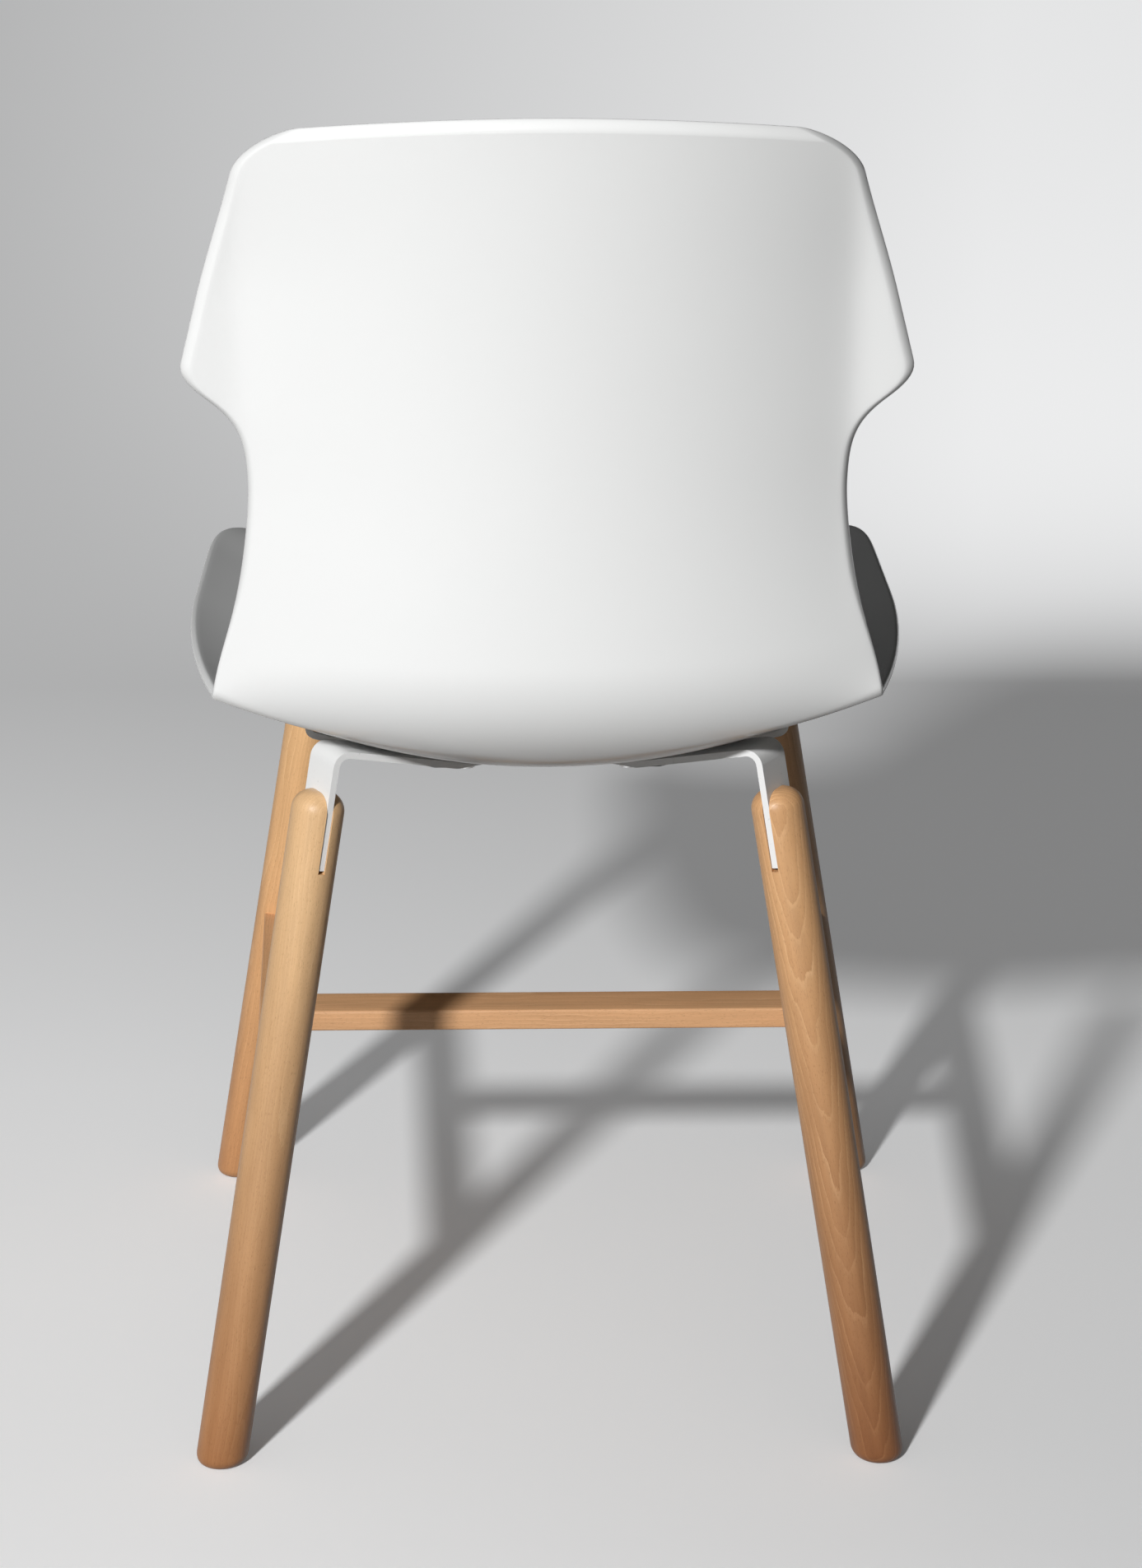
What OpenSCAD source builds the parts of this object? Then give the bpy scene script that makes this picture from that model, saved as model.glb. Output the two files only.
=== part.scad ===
// Dining chair: a moulded shell on a formed steel bracket, with four slotted round legs
// and an H stretcher. Millimetres, +Z up, floor at z = 0, the sitter faces -Y and the
// sitter's left hand is at +X.

/* [Legs] */
// Diameter of the round legs
leg_d = 32; // [28:0.5:38]
// Height of the leg tops, measured on the leg axis
leg_top_z = 427; // [410:1:440]
// Radius of the rounded leg tops
leg_dome_r = 12; // [4:0.5:14]
// Rounding of the feet
foot_r = 7; // [3:0.5:9]
// Distance of the rear feet from the centre plane
rear_foot_x = 205; // [190:1:225]
// Rear feet along the chair
rear_foot_y = 193; // [180:1:210]
// Distance of the front feet from the centre plane
front_foot_x = 223; // [205:1:240]
// Front feet along the chair
front_foot_y = -238; // [-255:1:-225]
// Outward lean of the rear legs
rear_splay = 10.6; // [6:0.1:14]
// Outward lean of the front legs
front_splay = 11.2; // [6:0.1:14]
// Heading of the bracket arms and of the lean, from straight sideways
arm_heading = 30; // [20:1:40]

/* [Bracket] */
// Thickness of the steel sheet
sheet_t = 4; // [3:0.5:5]
// Width of an arm and of its tongue
arm_w = 30; // [24:1:31]
// Height of the flat tray, middle of the sheet
tray_z = 432; // [425:0.5:436]
// Height of the corner between arm and tongue, middle of the sheet
arm_top_z = 453; // [446:0.5:456]
// Rise of the arms and of the side wings
arm_rise = 14.5; // [10:0.5:18]
// Bend radius, middle of the sheet
bend_r = 8; // [6:0.5:10]
// Depth of the slots in the leg tops
slot_depth = 48; // [40:1:56]
// Side clearance of a tongue in its slot
slot_gap = 0.2; // [0.1:0.05:0.5]
// Distance of the side flanges from the centre plane, outside
flange_x = 146; // [135:1:155]
// Height of the side flange edges
flange_top_z = 459; // [455:0.5:460]

/* [Shell] */
// Wall of the shell
shell_t = 6; // [4:0.5:8]
// Height of the back's top edge in the middle
back_top_z = 842; // [820:0.5:860]
// Height of the seat's lowest stretch, on top
pan_z = 447; // [445:0.5:455]
// Height of the seat's side rims
rim_z = 497; // [490:0.5:508]
// Largest half width of the seat
seat_half_w = 225; // [215:0.5:240]
// Front edge of the seat along the chair
seat_front_y = -267.5; // [-275:0.5:-250]
// Radius of the turn from the seat into the back
turn_r = 73; // [65:1:100]
// Start of that turn along the chair
turn_y = 140.5; // [130:0.5:148]
// Backward lean of the back where it leaves the turn
back_lean = -2.3; // [-5:0.1:8]
// How far the back's top edge curls back from straight
back_curl = 52.5; // [0:1:60]
// Half width of the shell at the folded corners
corner_half_w = 195.5; // [185:0.5:205]
// Half width of the back at the waist
waist_half_w = 174.5; // [160:0.5:185]
// Height of the waist
waist_z = 622.5; // [590:1:630]
// Half width of the back at the wings
wing_half_w = 207.5; // [195:0.5:225]
// Height of the wings' tips
wing_z = 699.5; // [675:0.5:720]
// Radius of the back's bow across the chair
bow_r = 385; // [300:1:600]
// Half width at which the bow flattens out into the wings
flare_x = 172; // [160:0.5:200]
// Slant of the rim's face, so that the rim shows from behind
rim_slant = 5; // [0:0.5:6]

/* [Stretcher] */
// Height of the stretcher's top faces
rail_top_z = 215; // [180:1:260]
// Thickness of the side rails
side_rail_t = 16; // [12:0.5:20]
// Height of the side rails
side_rail_h = 33; // [26:1:38]
// Height of the cross rail
cross_rail_h = 14; // [12:0.5:20]
// Depth of the cross rail
cross_rail_d = 33; // [26:1:38]
// Middle of the cross rail along the chair
cross_rail_y = -34.5; // [-80:0.5:20]
// Diameter of the dowels
dowel_d = 6; // [5:0.5:8]

/* [Fasteners] */
// Shank diameter of the leg bolts and the shell screws
screw_d = 6; // [5:0.5:8]
// Clearance hole for them
hole_d = 6.6; // [6.2:0.1:7]
// Head diameter
head_d = 10.5; // [9:0.5:12]
// Head height
head_h = 3.6; // [3:0.1:4.5]
// Outside diameter of the threaded sleeves
sleeve_d = 9.5; // [8:0.5:11]

/* [Hidden] */
$fn = 48;
eps = 0.01;
leg_r = leg_d / 2;

// Legs are numbered rear left, rear right, front left, front right.
REAR_LEFT = 0;
REAR_RIGHT = 1;
FRONT_LEFT = 2;
FRONT_RIGHT = 3;
LEGS = [REAR_LEFT, REAR_RIGHT, FRONT_LEFT, FRONT_RIGHT];
function side_of(k) = k % 2 == 0 ? 1 : -1;
function end_of(k) = k < 2 ? 1 : -1;
function splay(k) = k < 2 ? rear_splay : front_splay;
function foot(k) = k < 2 ? [side_of(k) * rear_foot_x, rear_foot_y, 0]
                         : [side_of(k) * front_foot_x, front_foot_y, 0];
function heading(k) = side_of(k) > 0 ? end_of(k) * arm_heading : 180 - end_of(k) * arm_heading;
function leg_length(k) = leg_top_z / cos(splay(k));
// Point on a leg's axis at height z
function on_axis(k, z) = foot(k) - z * tan(splay(k)) * [cos(heading(k)), sin(heading(k)), 0] + [0, 0, z];

bolt_drops = [17, 35];     // below the leg top, along the leg
tongue_end_gap = 2;        // below the tongue, inside the slot
head_sink = 5;             // counterbore of the leg bolts
head_gap = 0.6;            // added to the head's diameter for that counterbore
socket_d = 4;              // six-sided socket in the heads
socket_h = 2.2;
sleeve_l = 9;              // threaded sleeve in the outer half of the leg
washer_t = 1.2;
washer_d = 14;

tray_half_w = 70;
tray_inset = 36;           // tray's straight ends, inwards from the arm corners
tray_waist_r = 180;        // hollow front and rear edges of the tray
tray_waist = 12;           // depth of that hollow
arm_lap = 45;              // arm sheets run on over the tray by this much
wing_inset = 30;           // side wings' ends, inwards from the arm corners
wing_lap = 8;              // side wings start this far inside the tray's edge
wing_bend_in = 2;          // first bend of a side wing, inside the tray's edge
wing_bend_r = 5;
flange_gap = 1.5;          // least gap between the side flanges and the shell

boss_d = 15;               // moulded bosses under the shell
boss_reach = 95;           // bosses from the arm corners, level, along the arms
insert_l = 6;              // threaded insert in a boss
rib_t = 1.8;               // moulded ribs that steady the shell on the arms
rib_l = 18;
rib_x = 13;                // ribs' middle from the arm corners, level, across the chair
rib_y = 12;                // and along the chair

rail_z = rail_top_z - side_rail_h / 2;
cross_z = rail_top_z - cross_rail_h / 2;
dowel_l = 26;
dowel_rise = [-8, 8];      // dowels of a side rail's end, from the rail's middle
dowel_gap = 1;             // free length in the dowel holes
cross_dowel_y = [-9, 9];   // dowels of the cross rail's end, from the rail's middle
cross_dowel_l = 30;
cross_dowel_in = 11;       // length of them in the side rail

// ---------------------------------------------------------------- frames

// Upright plane of an arm: x outward along the heading, z up, origin at the foot
module arm_plane(k) {
    translate(foot(k)) rotate([0, 0, heading(k)]) children();
}

// Leg: z up along the leg's axis, x outward, y along the slot
module leg_frame(k) {
    arm_plane(k) rotate([0, -splay(k), 0]) children();
}

// Corner between an arm and its tongue
function arm_corner(k) = on_axis(k, arm_top_z);

// Boss on the tray, in line with arm k: z up along the screw, origin in the middle of the sheet
function boss_at(k) = let (c = arm_corner(k))
    [c[0] - boss_reach * cos(heading(k)), c[1] - boss_reach * sin(heading(k)), tray_z];
module boss_frame(k) {
    translate(boss_at(k)) children();
}

// Rib on arm k: z off the arm's upper face, y along the chair
function rib_at(k) = let (c = arm_corner(k)) [c[0] - side_of(k) * rib_x, c[1] - end_of(k) * rib_y];
module rib_frame(k) {
    along = rib_x * cos(arm_heading) + rib_y * sin(arm_heading);
    arm_plane(k)
        translate([-arm_top_z * tan(splay(k)) - along, 0, arm_top_z - along * tan(arm_rise)])
            rotate([0, -arm_rise, 0])
                translate([0, end_of(k) * side_of(k) * (rib_x * sin(arm_heading) - rib_y * cos(arm_heading)),
                           sheet_t / 2])
                    rotate([0, 0, -heading(k)]) children();
}

// ---------------------------------------------------------------- sheet profiles

function unit(v) = v / norm(v);
function turn_left(v) = [-v[1], v[0]];

// Points and directions round one bend of a path, as an arc of radius r in n steps
function bend(a, b, c, r, n) =
    let (u = unit(b - a), w = unit(c - b),
         turn = atan2(u[0] * w[1] - u[1] * w[0], u * w),
         cut = r * tan(abs(turn) / 2),
         s = sign(turn),
         centre = b - cut * u + s * r * turn_left(u))
    [for (i = [0 : n])
        let (t = turn * i / n,
             d = [u[0] * cos(t) - u[1] * sin(t), u[0] * sin(t) + u[1] * cos(t)])
        [centre - s * r * turn_left(d), d]];

function path_with_bends(p, r, n = 8) =
    concat([[p[0], unit(p[1] - p[0])]],
           [for (i = [1 : len(p) - 2]) each bend(p[i - 1], p[i], p[i + 1], r, n)],
           [[p[len(p) - 1], unit(p[len(p) - 1] - p[len(p) - 2])]]);

// Bent sheet seen from its edge: a path given a thickness
module sheet_edge(path, t, r) {
    q = path_with_bends(path, r);
    n = len(q);
    polygon(concat([for (e = q) e[0] + t / 2 * turn_left(e[1])],
                   [for (i = [n - 1 : -1 : 0]) q[i][0] - t / 2 * turn_left(q[i][1])]));
}

// ---------------------------------------------------------------- shell surface

function clamp01(t) = min(max(t, 0), 1);
function smooth01(t) = let (c = clamp01(t)) c * c * (3 - 2 * c);
function mix(a, b, t) = a + (b - a) * t;
// Smaller of two values, with the corner between them blended over k
function soft_min(a, b, k) = let (h = max(k - abs(a - b), 0) / k) min(a, b) - h * h * k / 4;

turn_end = 90 - back_lean;               // slope at which the turn becomes the curling back
fold_turn = 40;                          // slope of the middle line level with the folded corners
fold_y = 174.5;                          // folded corner along the chair
pan_share = 0.86;                        // rows of the seat before the turn, of 1
row_power = 2.07;                         // rows pass from middle to edge with this power
widest_y = -38;                          // seat narrows from here to the corners
front_y = -125.5;                        // rounded front of the seat starts here
front_share = 0.42;                      // rows of the seat on that rounded front, of 1
front_sweep = 76;
front_dip = 45;                          // rim drops by this at the front
pan_rise = 15;                           // pan rises forward by this
pan_rise_y = 80;
pan_rise_l = 305;
pan_rise_power = 1.8;
nose_drop = 13;                          // front edge rolls down by this
nose_l = 15;
flank_power = 1.6;                       // back's sides below the waist
shoulder = 33;                           // swell of the wings' lower edges
shoulder_below = 31;
shoulder_l = 15.3;
wing_taper = 0.2665;
wing_blend = 82;
bow_h = 183;                             // the back has its full bow this far over the corners
flare = 0.558;                            // slope that the bow loses over the flare
flare_w = 5.2;
lift_h = 48;                             // back's rows are drawn up to the corners over this height
crown = 9.3;                            // drop of the top edge at crown_x from the middle
crown_x = 143;
crown_power = 1.65;
crown_z = 732;                           // drop starts here
top_corner_r = 31.5;

// Middle line: seat profile by y, then the turn by slope, then the curling back by height
function seat_mid(y) = [y, pan_z + pan_rise * pow(max(pan_rise_y - y, 0) / pan_rise_l, pan_rise_power)
                           - nose_drop * exp((seat_front_y - y) / nose_l)];
function turn_mid(a) = [turn_y + turn_r * sin(a), pan_z + turn_r * (1 - cos(a))];
turn_top_z = turn_mid(turn_end)[1];
function back_mid(z) = z < turn_top_z
    ? turn_mid(acos(1 - (z - pan_z) / turn_r))
    : [turn_mid(turn_end)[0] + (z - turn_top_z) * tan(back_lean)
       + back_curl * pow((z - turn_top_z) / (back_top_z - turn_top_z), 2), z];
// Forward bow of the back by half width: a circle's start, flattened out over the wings
function bow_at(x) = x * x / (2 * bow_r) - flare * flare_w * ln(1 + exp((x - flare_x) / flare_w));

// Seat rim: q runs 0..1 from the front edge back to the folded corner
front_l = front_y - seat_front_y;
function side_rim_x(y) =
    seat_half_w - (seat_half_w - corner_half_w) * pow(max(y - widest_y, 0) / (fold_y - widest_y), 2);
function rim(q) = q < front_share
    ? let (a = front_sweep * (1 - q / front_share))
      [seat_half_w * sqrt(cos(a)), front_y - front_l * sqrt(sin(a)), rim_z - front_dip * pow(sin(a), 3)]
    : let (y = mix(front_y, fold_y, (q - front_share) / (1 - front_share)))
      [side_rim_x(y), y, rim_z];

// Half width of the back at a height
function back_half_w(z) =
    let (low = waist_half_w + (corner_half_w - waist_half_w)
                 * pow(max(waist_z - z, 0) / (waist_z - rim_z), flank_power)
               + shoulder * exp((z - wing_z + shoulder_below) / shoulder_l),
         high = wing_half_w - wing_taper * (z - wing_z),
         over = clamp01((z - back_top_z + top_corner_r) / top_corner_r))
    soft_min(low, high, wing_blend) - top_corner_r * (1 - sqrt(1 - over * over));

// Point of the upper surface: u across in -1..1, v in 0..1 over the seat and 1..2 over the back
function seat_point(u, q) =
    let (e = rim(q),
         mid_y = mix(seat_front_y, turn_y, clamp01(q / pan_share)),
         c = q < pan_share ? seat_mid(mid_y) : turn_mid(fold_turn * (q - pan_share) / (1 - pan_share)),
         f = pow(abs(u), row_power))
    [e[0] * u, mix(c[0], e[1], f), mix(c[1], e[2], f)];

function back_point(u, q) =
    let (edge_z = mix(rim_z, back_top_z, q),
         lift = 1 - clamp01((edge_z - rim_z) / lift_h),
         mid_z = edge_z - (rim_z - turn_mid(fold_turn)[1]) * lift * lift,
         c = back_mid(mid_z),
         x = back_half_w(edge_z) * u,
         f = pow(abs(u), row_power),
         bow = mix((c[0] - fold_y) * f, bow_at(abs(x)), smooth01((edge_z - rim_z) / bow_h)),
         drop = crown * pow(abs(x) / crown_x, crown_power)
                * smooth01((edge_z - crown_z) / (back_top_z - crown_z)))
    [x, c[0] - bow, mix(mid_z, edge_z, f) - drop];

function shell_point(u, v) = v < 1 ? seat_point(u, v) : back_point(u, v - 1);

// Normal towards the underside and the rear, from neighbouring surface points
function shell_normal(u, v) =
    let (du = 0.01, dv = 0.004,
         a = shell_point(min(u + du, 1), v) - shell_point(max(u - du, -1), v),
         b = shell_point(u, min(v + dv, 2)) - shell_point(u, max(v - dv, 0)))
    unit(cross(b, a));

// Lower surface: drawn in from the rim by the slant, except at the folded corners
seat_run = 430;                          // length of the seat's rows, front to corners
back_run = 350;                          // and of the back's rows, corners to top
slant_start = 0.03;                      // slant grows from here, in rows' shares off the corners
slant_blend = 0.2;
function lower_point(u, v) =
    let (slant = rim_slant * smooth01((abs(v - 1) - slant_start) / slant_blend),
         u2 = u * (1 - slant / shell_point(1, v)[0]),
         v2 = 1 + (v - 1) * (1 - slant / (v < 1 ? seat_run : back_run)))
    shell_point(u2, v2) + shell_t * shell_normal(u2, v2);

// Height of the pan's underside over a place on the floor
function under_z(x, y) =
    mix(seat_mid(y)[1], rim_z, pow(abs(x) / side_rim_x(y), row_power)) - shell_t;

columns = 36;
seat_rows = 24;
back_rows = 40;
corner_rows = 7;                         // closer rows over the rounded top corners
rows = seat_rows + back_rows + corner_rows;
corner_share = top_corner_r / (back_top_z - rim_z);
function row_v(j) =
    j <= seat_rows ? j / seat_rows
    : j <= seat_rows + back_rows ? 1 + (1 - corner_share) * (j - seat_rows) / back_rows
    : 2 - corner_share * (1 - sin(90 * (j - seat_rows - back_rows) / corner_rows));
function column_u(i) = -1 + 2 * i / columns;

module shell_wall() {
    upper = [for (j = [0 : rows], i = [0 : columns]) shell_point(column_u(i), row_v(j))];
    lower = [for (j = [0 : rows], i = [0 : columns]) lower_point(column_u(i), row_v(j))];
    n = columns + 1;
    m = n * (rows + 1);
    function at(i, j) = j * n + i;
    polyhedron(
        points = concat(upper, lower),
        faces = [
            for (j = [0 : rows - 1], i = [0 : columns - 1]) each [
                [at(i, j), at(i, j + 1), at(i + 1, j)],
                [at(i + 1, j), at(i, j + 1), at(i + 1, j + 1)],
                [m + at(i, j), m + at(i + 1, j), m + at(i, j + 1)],
                [m + at(i + 1, j), m + at(i + 1, j + 1), m + at(i, j + 1)]],
            for (i = [0 : columns - 1]) each [
                [at(i, 0), at(i + 1, 0), m + at(i, 0)],
                [at(i + 1, 0), m + at(i + 1, 0), m + at(i, 0)],
                [at(i + 1, rows), at(i, rows), m + at(i, rows)],
                [at(i + 1, rows), m + at(i, rows), m + at(i + 1, rows)]],
            for (j = [0 : rows - 1]) each [
                [at(0, j + 1), at(0, j), m + at(0, j)],
                [at(0, j + 1), m + at(0, j), m + at(0, j + 1)],
                [at(columns, j), at(columns, j + 1), m + at(columns, j)],
                [at(columns, j + 1), m + at(columns, j + 1), m + at(columns, j)]]],
        convexity = 8);
}

// Bosses and ribs end halfway in the shell's wall, measured from the faces they stand on
function boss_h(k) = under_z(boss_at(k)[0], boss_at(k)[1]) + shell_t / 2 - tray_z - sheet_t / 2;
function rib_h(k) = (under_z(rib_at(k)[0], rib_at(k)[1]) + shell_t / 2 - arm_top_z) * cos(arm_rise)
    + (rib_x * cos(arm_heading) + rib_y * sin(arm_heading)) * sin(arm_rise) - sheet_t / 2;

// ---------------------------------------------------------------- sub-parts

// One moulded wall for seat and back, with four bosses and four ribs underneath
module seat_shell() {
    color("white") difference() {
        union() {
            shell_wall();
            for (k = LEGS) boss_frame(k) translate([0, 0, sheet_t / 2]) cylinder(d = boss_d, h = boss_h(k));
            for (k = LEGS) rib_frame(k) translate([-rib_t / 2, -rib_l / 2, 0]) cube([rib_t, rib_l, rib_h(k)]);
        }
        for (k = LEGS) boss_frame(k) translate([0, 0, -eps])
            cylinder(d = sleeve_d, h = sheet_t / 2 + insert_l + eps);
    }
}

// Threaded inserts moulded into the bosses
module shell_inserts() {
    color("goldenrod") for (k = LEGS) boss_frame(k) translate([0, 0, sheet_t / 2]) difference() {
        cylinder(d = sleeve_d, h = insert_l);
        translate([0, 0, -eps]) cylinder(d = screw_d, h = insert_l + 2 * eps);
    }
}

// Sheet of one arm with its tongue, drilled for the boss screw and the leg bolts
module arm_sheet(k) {
    corner = [-arm_top_z * tan(splay(k)), arm_top_z];
    run = (arm_top_z - tray_z) / tan(arm_rise);
    root = [corner[0] - run, tray_z];
    tongue_end_z = (leg_length(k) - slot_depth + tongue_end_gap) * cos(splay(k));
    tongue_end = [-tongue_end_z * tan(splay(k)), tongue_end_z];
    arm_plane(k) rotate([90, 0, 0]) translate([0, 0, -arm_w / 2]) linear_extrude(arm_w)
        sheet_edge([tongue_end, corner, root, root - [arm_lap, 0]], sheet_t, bend_r);
}

// Plan of the flat tray: waisted front and rear edges between the arm roots
module tray_plan() {
    rear_edge_y = arm_corner(REAR_LEFT)[1] - tray_inset;
    front_edge_y = arm_corner(FRONT_LEFT)[1] + tray_inset;
    centre_out = tray_waist_r - tray_waist;
    difference() {
        translate([-tray_half_w, front_edge_y]) square([2 * tray_half_w, rear_edge_y - front_edge_y]);
        translate([0, rear_edge_y + centre_out]) circle(r = tray_waist_r, $fn = 96);
        translate([0, front_edge_y - centre_out]) circle(r = tray_waist_r, $fn = 96);
    }
}

// Side wing with its upturned flange, from the flat tray outwards
module side_wing(side) {
    rear_end_y = arm_corner(REAR_LEFT)[1] - wing_inset;
    front_end_y = arm_corner(FRONT_LEFT)[1] + wing_inset;
    inner = [tray_half_w - wing_lap, tray_z];
    bend_a = [tray_half_w - wing_bend_in, tray_z];
    run = flange_x - sheet_t / 2 - bend_a[0];
    bend_b = bend_a + [run, run * tan(arm_rise)];
    edge = [bend_b[0], min(flange_top_z, under_z(flange_x - sheet_t, pan_rise_y) - flange_gap)];
    mirror([side < 0 ? 1 : 0, 0, 0])
        translate([0, rear_end_y, 0]) rotate([90, 0, 0]) linear_extrude(rear_end_y - front_end_y)
            sheet_edge([inner, bend_a, bend_b, edge], sheet_t, wing_bend_r);
}

module under_seat_bracket() {
    color("whitesmoke") difference() {
        union() {
            translate([0, 0, tray_z - sheet_t / 2]) linear_extrude(sheet_t) tray_plan();
            for (side = [-1, 1]) side_wing(side);
            for (k = LEGS) arm_sheet(k);
        }
        for (k = LEGS) boss_frame(k) cylinder(d = hole_d, h = 2 * sheet_t, center = true);
        for (k = LEGS, drop = bolt_drops) leg_bolt_axis(k, drop)
            cylinder(d = hole_d, h = 2 * sheet_t, center = true);
    }
}

// Screws through the arms into the shell's inserts, head below
module shell_screws() {
    color("silver") for (k = LEGS) boss_frame(k) difference() {
        union() {
            translate([0, 0, -sheet_t / 2 - washer_t - head_h]) cylinder(d = head_d, h = head_h);
            translate([0, 0, -sheet_t / 2 - washer_t - eps])
                cylinder(d = screw_d, h = washer_t + sheet_t + insert_l - 1 + eps);
        }
        translate([0, 0, -sheet_t / 2 - washer_t - head_h - eps])
            cylinder(d = socket_d, h = socket_h, $fn = 6);
    }
}

module shell_screw_washers() {
    color("silver") for (k = LEGS) boss_frame(k)
        translate([0, 0, -sheet_t / 2 - washer_t]) difference() {
            cylinder(d = washer_d, h = washer_t);
            translate([0, 0, -eps]) cylinder(d = hole_d, h = washer_t + 2 * eps);
        }
}

// Axis of a leg bolt: z runs outward through the leg, origin on the leg's axis
module leg_bolt_axis(k, drop) {
    leg_frame(k) translate([0, 0, leg_length(k) - drop]) rotate([0, 90, 0]) children();
}

// Turned leg with a domed, slotted top and a foot cut level with the floor
module leg(k) {
    length = leg_length(k);
    difference() {
        intersection() {
            leg_frame(k) rotate_extrude() union() {
                translate([0, -20]) square([leg_r, length + 20 - leg_dome_r]);
                translate([0, length - leg_dome_r - eps]) square([leg_r - leg_dome_r, leg_dome_r + eps]);
                intersection() {
                    translate([leg_r - leg_dome_r, length - leg_dome_r]) circle(r = leg_dome_r);
                    translate([0, length - leg_dome_r - eps]) square([leg_r, leg_dome_r + 1]);
                }
            }
            foot_envelope(k);
        }
        leg_frame(k) translate([-sheet_t / 2 - slot_gap, -leg_r - 1, length - slot_depth])
            cube([sheet_t + 2 * slot_gap, leg_d + 2, slot_depth + 1]);
        for (drop = bolt_drops) leg_bolt_axis(k, drop) {
            translate([0, 0, -leg_r - 2]) cylinder(d = head_d + head_gap, h = head_sink + 2);
            translate([0, 0, -leg_r]) cylinder(d = hole_d, h = leg_r);
            translate([0, 0, sheet_t / 2]) cylinder(d = sleeve_d, h = slot_gap + sleeve_l + 0.5);
        }
        for (dz = dowel_rise) side_dowel_axis(k, dz)
            translate([0, 0, -dowel_l / 2 - dowel_gap])
                cylinder(d = dowel_d, h = dowel_l / 2 + dowel_gap + 3);
    }
}

// Level floor cut with a rounded edge, widening upwards past the leg
module foot_envelope(k) {
    translate(foot(k)) rotate_extrude() union() {
        square([leg_r - foot_r + 2, leg_top_z]);
        translate([leg_r - foot_r + 2, foot_r]) circle(r = foot_r);
        translate([0, foot_r]) square([leg_top_z, leg_top_z]);
    }
}

module rear_leg_left() { color("burlywood") leg(REAR_LEFT); }
module rear_leg_right() { color("burlywood") leg(REAR_RIGHT); }
module front_leg_left() { color("burlywood") leg(FRONT_LEFT); }
module front_leg_right() { color("burlywood") leg(FRONT_RIGHT); }

// Bolts from the inner side of each leg, through the tongue
module leg_bolts() {
    color("silver") for (k = LEGS, drop = bolt_drops) leg_bolt_axis(k, drop) difference() {
        union() {
            translate([0, 0, -leg_r + head_sink - head_h]) cylinder(d = head_d, h = head_h);
            translate([0, 0, -leg_r + head_sink - eps])
                cylinder(d = screw_d, h = leg_r - head_sink + sheet_t / 2 + slot_gap + sleeve_l - 1);
        }
        translate([0, 0, -leg_r + head_sink - head_h - eps]) cylinder(d = socket_d, h = socket_h, $fn = 6);
    }
}

// Threaded sleeves in the outer half of each leg
module leg_sleeve_nuts() {
    color("goldenrod") for (k = LEGS, drop = bolt_drops) leg_bolt_axis(k, drop)
        translate([0, 0, sheet_t / 2 + slot_gap]) difference() {
            cylinder(d = sleeve_d, h = sleeve_l);
            translate([0, 0, -eps]) cylinder(d = screw_d, h = sleeve_l + 2 * eps);
        }
}

// Axis of a side rail: from the rear leg to the front leg of one side
module side_rail_frame(side, z) {
    a = on_axis(side > 0 ? REAR_LEFT : REAR_RIGHT, z);
    b = on_axis(side > 0 ? FRONT_LEFT : FRONT_RIGHT, z);
    translate([a[0], a[1], z]) rotate([0, 0, atan2(b[1] - a[1], b[0] - a[0])]) children();
}

// Dowel between leg k and its side rail: z points from the leg's surface into the rail
module side_dowel_axis(k, dz) {
    a = on_axis(side_of(k) > 0 ? REAR_LEFT : REAR_RIGHT, rail_z);
    b = on_axis(side_of(k) > 0 ? FRONT_LEFT : FRONT_RIGHT, rail_z);
    here = k < 2 ? a : b;
    there = k < 2 ? b : a;
    dir = unit([there[0] - here[0], there[1] - here[1]]);
    lean = end_of(k) * tan(splay(k)) * sin(arm_heading) * dz;
    translate([here[0], here[1] - lean, rail_z + dz])
        rotate([0, 0, atan2(dir[1], dir[0])]) rotate([0, 90, 0]) translate([0, 0, leg_r - 0.5]) children();
}

module side_rail(side) {
    k_rear = side > 0 ? REAR_LEFT : REAR_RIGHT;
    k_front = side > 0 ? FRONT_LEFT : FRONT_RIGHT;
    span = norm(on_axis(k_front, rail_z) - on_axis(k_rear, rail_z));
    difference() {
        side_rail_frame(side, rail_z)
            translate([0, -side_rail_t / 2, -side_rail_h / 2]) cube([span, side_rail_t, side_rail_h]);
        for (k = [k_rear, k_front]) leg_frame(k) cylinder(r = leg_r, h = leg_length(k));
        for (k = [k_rear, k_front], dz = dowel_rise) side_dowel_axis(k, dz)
            translate([0, 0, -2]) cylinder(d = dowel_d, h = dowel_l / 2 + 2);
        for (dy = cross_dowel_y) cross_dowel_axis(side, dy)
            translate([0, 0, -cross_dowel_in]) cylinder(d = dowel_d, h = cross_dowel_in + 2);
    }
}

module side_rail_left() { color("burlywood") side_rail(1); }
module side_rail_right() { color("burlywood") side_rail(-1); }

module side_rail_dowels() {
    color("tan") for (k = LEGS, dz = dowel_rise) side_dowel_axis(k, dz)
        translate([0, 0, -dowel_l / 2]) cylinder(d = dowel_d, h = dowel_l - dowel_gap);
}

// Distance of a side rail's inner face from the centre plane at the cross rail
function rail_inner_x(y) =
    let (a = on_axis(REAR_LEFT, rail_z), b = on_axis(FRONT_LEFT, rail_z),
         slope = atan2(b[0] - a[0], a[1] - b[1]))
    mix(a[0], b[0], (y - a[1]) / (b[1] - a[1])) - side_rail_t / 2 / cos(slope);

// Dowel between the cross rail and a side rail: z points from the side rail into the cross rail
module cross_dowel_axis(side, dy) {
    translate([side * rail_inner_x(cross_rail_y + dy), cross_rail_y + dy, cross_z])
        rotate([0, -side * 90, 0]) children();
}

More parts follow.
